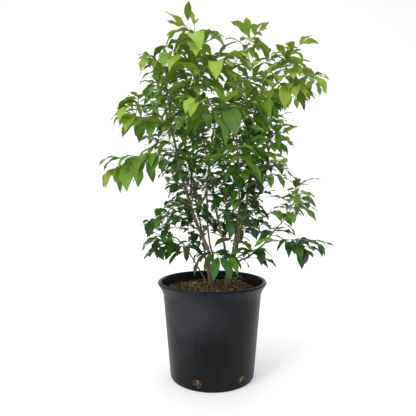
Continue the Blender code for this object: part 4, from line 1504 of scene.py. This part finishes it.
def eased(points, radii, step):
    """Cubic runs through the points, each in its own direction, cut into steps, with radii between."""
    heads, curve, sizes = directions(points), [], []
    for index, (start, stop) in enumerate(zip(points[:-1], points[1:])):
        span = np.linalg.norm(stop - start)
        count = max(1, round(span / step))
        t = np.arange(count)[:, None] / count
        pull = (t**3 - 2 * t**2 + t) * heads[index] + (t**3 - t**2) * heads[index + 1]
        curve.append(start + (3 * t**2 - 2 * t**3) * (stop - start) + span * pull)
        sizes.append(radii[index] + (radii[index + 1] - radii[index]) * t[:, 0])
    return np.vstack([*curve, points[-1:]]), np.append(np.concatenate(sizes), radii[-1])


def stem_surface(route, step, sides, relief, seed, sink):
    """Rings along the eased route. Each radius is the route's, times 1 plus ridges, a sum of sines round
    and along the stem, plus a swelling at each bud. The root is sunk back along its own direction."""
    start = route.points[0] - sink * directions(route.points)[0]
    points = np.vstack([start, route.points])
    points, radii = eased(points, np.append(route.radii[0], route.radii), step)
    heads = directions(points)
    level = np.eye(3)[np.argmin(np.abs(heads).max(axis=0))]
    across = level - (heads @ level)[:, None] * heads
    across /= np.linalg.norm(across, axis=1)[:, None]
    beside = np.cross(heads, across)
    marks = np.append(0, np.cumsum(np.linalg.norm(np.diff(points, axis=0), axis=1)))[:, None]
    angle = 2 * np.pi * np.arange(sides) / sides
    phase = np.random.default_rng(seed).uniform(0, 2 * np.pi, 4)
    ridges = sum(
        size * np.sin(count * angle + start_at + twist * marks)
        for (size, count, twist), start_at in zip(RIDGES, phase)
    )
    from_bud = (marks + phase[3] * BUD_SHIFT) % BUD_GAP - BUD_GAP / 2
    swell = BUD_SWELL * np.exp(-((from_bud / BUD_LENGTH) ** 2))
    reach = (radii[:, None] * (1 + relief * ridges + swell))[:, :, None]
    ring = np.cos(angle)[None, :, None] * across[:, None] + np.sin(angle)[None, :, None] * beside[:, None]
    corners = (points[:, None] + reach * ring).reshape(-1, 3)
    caps = np.array([np.arange(sides)[::-1], np.arange(sides) + len(corners) - sides])
    return corners, [ring_quads(len(points), sides), caps]


print(len(RIDGES), "waves of ridges round a stem")

# %% Trunks, stems and boughs
LIMB_RELIEF = 0.07
LIMB_RING = 2.5 * MM
LIMB_SINK = 2.5
THICK_LIMB = 2.4 * MM
for number, (name, route) in enumerate(limbs.items()):
    sides, finish = (20, thick_bark) if route.radii[0] > THICK_LIMB else (12, thin_bark)
    sink = LIMB_SINK * route.radii[0]
    corners, faces = joined([stem_surface(route, LIMB_RING, sides, LIMB_RELIEF, number, sink)])
    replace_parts(piece(name + "_bark", corners, faces, finish, "bark"), name)

# %% Twigs
TWIG_RELIEF = 0.05
TWIG_RING = 5 * MM
TWIG_SINK = 0.4 * MM
for fine, name in ((False, "twigs"), (True, "fine_twigs")):
    parts = []
    for number, spray in enumerate(sprays):
        if spray.fine == fine:
            sides = 5 if fine else 8
            parts.append(stem_surface(spray.route, TWIG_RING, sides, TWIG_RELIEF, number, TWIG_SINK))
    made = piece(name, *joined(parts), twig_bark, "foliage")
    if not fine:
        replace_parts(made, *[mass.name for mass in MASSES])

# %% [markdown]
# A leaf is a long oval with a drawn-out tip and a toothed edge. A flat card would be cheap, but it has
# no edge and no fold. Here each leaf is a small grid: its midrib is the arc that the growth rule gave,
# and its halves fold up, bulge a little and ripple at the edge. All leaves of a tone are worked out at
# once.

# %% Leaf outline
LEAF_STALK = 0.05
STALK_SHARE = 0.05
STALK_TAPER = 0.7
OVAL_POWER = 0.88
OVAL_WIDTHS = (1.07, 0.12)
TIP_START = 0.55
TIP_SPAN = 0.45
TIP_PINCH = 0.34


def leaf_outline(t):
    """Half-widths along a leaf as a share of the widest: a stalk, then a sine to a power, wider near the
    base, less a square that pinches the tip."""
    blade = np.clip((t - LEAF_STALK) / (1 - LEAF_STALK), 0, 1)
    tip = np.clip((blade - TIP_START) / TIP_SPAN, 0, 1)
    wide = OVAL_WIDTHS[0] - OVAL_WIDTHS[1] * blade
    oval = np.sin(np.pi * blade) ** OVAL_POWER * wide * (1 - TIP_PINCH * tip**2)
    return np.maximum(oval, STALK_SHARE * (1 - STALK_TAPER * t))


print("half-widths:", leaf_outline(np.linspace(0, 1, 6)).round(2))

# %% Leaf surfaces
LONG_LEAF = 0.055
LEAF_TEETH = 0.05
FOLD_ROOT = 1.1
FOLD_FALL = 0.6
LEAF_BULGE = 0.32
LEAF_RIPPLE = 0.028
LEAF_SWINGS = 1.5
LEAF_TWIST = 16
LEAF_WIDTHS = (0.84, 1.04)
LEAF_TINTS = (-0.42, 0.42)
LEAF_SWAY = 0.035
LEAF_COLUMNS = np.array([-1, -0.55, 0, 0.55, 1])


def leaf_quads(stations, count):
    """The quads of many grids: each joins two neighbours on one row to the same two on the next."""
    columns = len(LEAF_COLUMNS)
    row = np.arange(columns - 1) + columns * np.arange(stations - 1)[:, None]
    quads = np.stack([row, row + columns, row + columns + 1, row + 1], axis=-1).reshape(-1, 4)
    return (quads + stations * columns * np.arange(count)[:, None, None]).reshape(-1, 4)


def leaf_surfaces(found, stations, seed):
    """All leaves at once, on a grid of stations along and columns across. A midrib point is the base plus
    the arc's reach ahead and its height. A column stands beside it by the half-width, and above it by the
    fold, less the bulge, plus a ripple that grows towards the edge."""
    chance = np.random.default_rng(seed)
    base, out = (np.array([leaf_way[part] for leaf_way in found])[:, None] for part in (0, 1))
    length, droop, roll = (np.array([leaf_way[part] for leaf_way in found])[:, None] for part in (2, 3, 4))
    t = np.linspace(0, 1, stations)[None]
    s = LEAF_COLUMNS[None, None]
    level = np.linalg.norm(out[:, :, :2], axis=-1)
    ahead = out * (1, 1, 0) / level[..., None]
    heading, reach, height = midrib_arc(out, level, droop, length, t)
    sway = LEAF_SWAY * length * chance.uniform(-1, 1, length.shape) * np.sin(np.pi * t) * t
    midrib = base + reach[..., None] * ahead + height[..., None] * UP
    midrib = midrib + sway[..., None] * np.cross(UP, ahead)
    twist = np.radians(roll + LEAF_TWIST * chance.uniform(-1, 1, length.shape) * t)[..., None]
    across, above = face_ways(ahead, heading, twist)
    teeth = 1 + LEAF_TEETH * (-1.0) ** np.arange(stations)[None, :, None] * (np.abs(s) == 1)
    width = LEAF_WIDTH * chance.uniform(*LEAF_WIDTHS, length.shape)
    half = (width / 2 * length * leaf_outline(t))[..., None] * teeth
    fold = np.radians(LEAF_FOLD * (FOLD_ROOT - FOLD_FALL * t))[..., None]
    bowl = (np.abs(s) - LEAF_BULGE * s**2) * np.sin(fold)
    swings = LEAF_SWINGS * (1 + chance.uniform(0, 1, length.shape))
    waves = np.sin(2 * np.pi * swings * t + chance.uniform(0, 6, length.shape))
    ripple = (LEAF_RIPPLE * length * leaf_outline(t) * waves)[..., None] * s * np.abs(s)
    surface = midrib[:, :, None] + (half * s * np.cos(fold))[..., None] * across[:, :, None]
    surface = surface + (half * bowl + ripple)[..., None] * above[:, :, None]
    uv = np.stack(np.broadcast_arrays((s + 1) / 2, t[..., None]), axis=-1)
    uv = np.tile(uv.reshape(-1, 2), (len(found), 1))
    tint = np.repeat(chance.uniform(*LEAF_TINTS, len(found)), stations * len(LEAF_COLUMNS))
    return surface.reshape(-1, 3), leaf_quads(stations, len(found)), uv, tint


print(len(LEAF_COLUMNS), "columns across a leaf")

# %% [markdown]
# The tone carries painted light and shade: sprays high up, far out and at the front are lighter, and those
# low, inside and at the back darker, with a few fresh yellow-green ones among them. Tones drawn at random
# would mix the two. So each spray's tone is worked out from where its tip is, and each leaf varies a little
# round it.

# %% Tones
# Height, reach out from the axis and nearness to the front paint light and shade into a spray's tone
TONE_BASE = 0.25
TONE_RISE = 3.5
DARK_BELOW = 0.30
LIGHT_ABOVE = 0.88
TONE_OUT = 0.8
CROWN_RADIUS = 0.25
PAINTED_FRONT_LIGHT = 2.2
TONE_SPREAD = 0.8
FRESH_SHARE = 0.10
FRESH_LIFT = 1.8
FINE_DARKER = 0.5
END_LIGHTER = 0.6
LEAF_VARY = 0.3
TONE_SEED = 11


def tone_of(spray, chance):
    """A spray's tone: higher up, further out and nearer the front is painted lighter, as light falls on the
    crown, and a few are fresh.
    """
    if spray.young:
        return len(LEAF_TONES) - 1
    x, y, z = spray.route.points[-1]
    fresh = FRESH_LIFT if chance.random() < FRESH_SHARE else 0
    height = TONE_RISE * np.clip((z - DARK_BELOW) / (LIGHT_ABOVE - DARK_BELOW), 0, 1)
    outward = TONE_OUT * (np.hypot(x, y) / CROWN_RADIUS) ** 2
    return TONE_BASE + height + outward - PAINTED_FRONT_LIGHT * y + fresh + chance.uniform(-TONE_SPREAD, TONE_SPREAD)


def deal_tones():
    """Leaves by tone and size. The pair at a twig's end is lighter than the rest."""
    chance = random.Random(TONE_SEED)
    dealt = {}
    for spray in sprays:
        tone = tone_of(spray, chance) - (FINE_DARKER if spray.fine else 0)
        for found, end in zip(spray.leaves, spray.ends):
            lighter = (END_LIGHTER if end else 0) + chance.uniform(-LEAF_VARY, LEAF_VARY)
            index = int(np.clip(round(tone + lighter), 0, len(LEAF_TONES) - 1))
            dealt.setdefault((index, bool(found[2] > LONG_LEAF)), []).append(found)
    return dealt


dealt = deal_tones()
print(len(dealt), "groups of leaves by tone and size")

# %% Leaves
LONG_STATIONS = 27
SHORT_STATIONS = 17
for (index, long), found in sorted(dealt.items()):
    tone = list(LEAF_TONES)[index]
    stations = LONG_STATIONS if long else SHORT_STATIONS
    corners, faces, uv, tint = leaf_surfaces(found, stations, 100 * index + long)
    name = f"leaves_{tone}_{'long' if long else 'short'}"
    piece(name, corners, faces.tolist(), leaf_finishes[index], "foliage", uv, tint)

# %% [markdown]
# The camera is the one that the photograph fits: level, a metre in front of the pot's axis. The backdrop
# is a pale floor that curves up behind. A flat floor would show a line where it ends.

# %% Camera
EYE = (-0.0107, -1.032, 0.451)
LENS = 34.75
SHIFT = -0.0243
SENSOR = 36
camera = into_scene("camera", bpy.data.cameras.new("camera"))
camera.data.lens, camera.data.sensor_width, camera.data.shift_y = LENS, SENSOR, SHIFT
camera.location, camera.rotation_euler = EYE, (np.pi / 2, 0, 0)
bpy.context.scene.camera = camera
print("lens", LENS, "mm, shift", SHIFT)

# %% Backdrop
FLOOR_REACH = 14
FLOOR_BACK = 1.6
CURVE = 1.2
WALL_TOP = 5
CURVE_POINTS = 24


def sweep():
    """A floor that turns up into a wall: a straight run, a quarter circle and a rise, drawn out in X."""
    turn = np.linspace(0, np.pi / 2, CURVE_POINTS)
    y = np.concatenate([[-FLOOR_REACH], FLOOR_BACK + CURVE * np.sin(turn), [FLOOR_BACK + CURVE]])
    z = np.concatenate([[0], CURVE - CURVE * np.cos(turn), [WALL_TOP]])
    sides = [np.column_stack([np.full(len(y), x), y, z]) for x in (-FLOOR_REACH, FLOOR_REACH)]
    here = np.arange(len(y) - 1)
    faces = np.stack([here, here + len(y), here + len(y) + 1, here + 1], axis=-1)
    return np.vstack(sides), faces.tolist()


paper = Finish("pale_paper", {"Base Color": (0.9, 0.9, 0.9), "Roughness": 0.95, "Specular IOR Level": 0.0})
paper.set({"Emission Color": (1, 1, 1), "Emission Strength": 0.20})
backdrop = into_scene("backdrop", smooth_mesh("backdrop", *sweep(), paper.material))
backdrop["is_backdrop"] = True
print(len(backdrop.data.polygons), "faces on the backdrop")

# %% [markdown]
# The photograph's light is soft, with a faint shadow at the pot's foot. A lamp gets softer as it gets
# larger, so each one is a wide square. The pale world fills in the rest. For each lamp the table gives
# its place, its size and its power.

# %% Studio light
AIM = np.array([0, 0, 0.45])
SKY_LIGHT = 0.62
LAMPS = {
    "key": ((-1.5, -1.8, 2.2), 1.0, 36),
    "side": ((-1.9, -1.0, 0.75), 1.0, 8),
    "fill": ((2.0, -1.5, 1.4), 1.4, 6),
    "top": ((0.2, 0.3, 2.8), 1.4, 14),
    "rear": ((0.4, 1.9, 1.6), 1.6, 8),
}


def lamp(name, place, size, power):
    """A soft square lamp that faces the plant."""
    light = bpy.data.lights.new(name, "AREA")
    light.size, light.energy = size, power
    made = into_scene(name, light)
    made.location = place
    away = np.array(place) - AIM
    tilt = np.arctan2(np.hypot(*away[:2]), away[2])
    made.rotation_euler = (tilt, 0, np.arctan2(away[1], away[0]) + np.pi / 2)


for name, values in LAMPS.items():
    lamp(name, *values)
world = bpy.data.worlds.new("studio")
world.use_nodes = True
world.node_tree.nodes["Background"].inputs["Color"].default_value = (1, 1, 1, 1)
world.node_tree.nodes["Background"].inputs["Strength"].default_value = SKY_LIGHT
bpy.context.scene.world = world
print(len(LAMPS), "lamps")
bpy.context.scene.view_settings.view_transform = "Standard"

# %% Finish
sizes = {name: [[float(n) for n in corner] for corner in box] for name, box in
         (("cad", CAD_BOX), ("visual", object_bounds()))}
print(sizes)
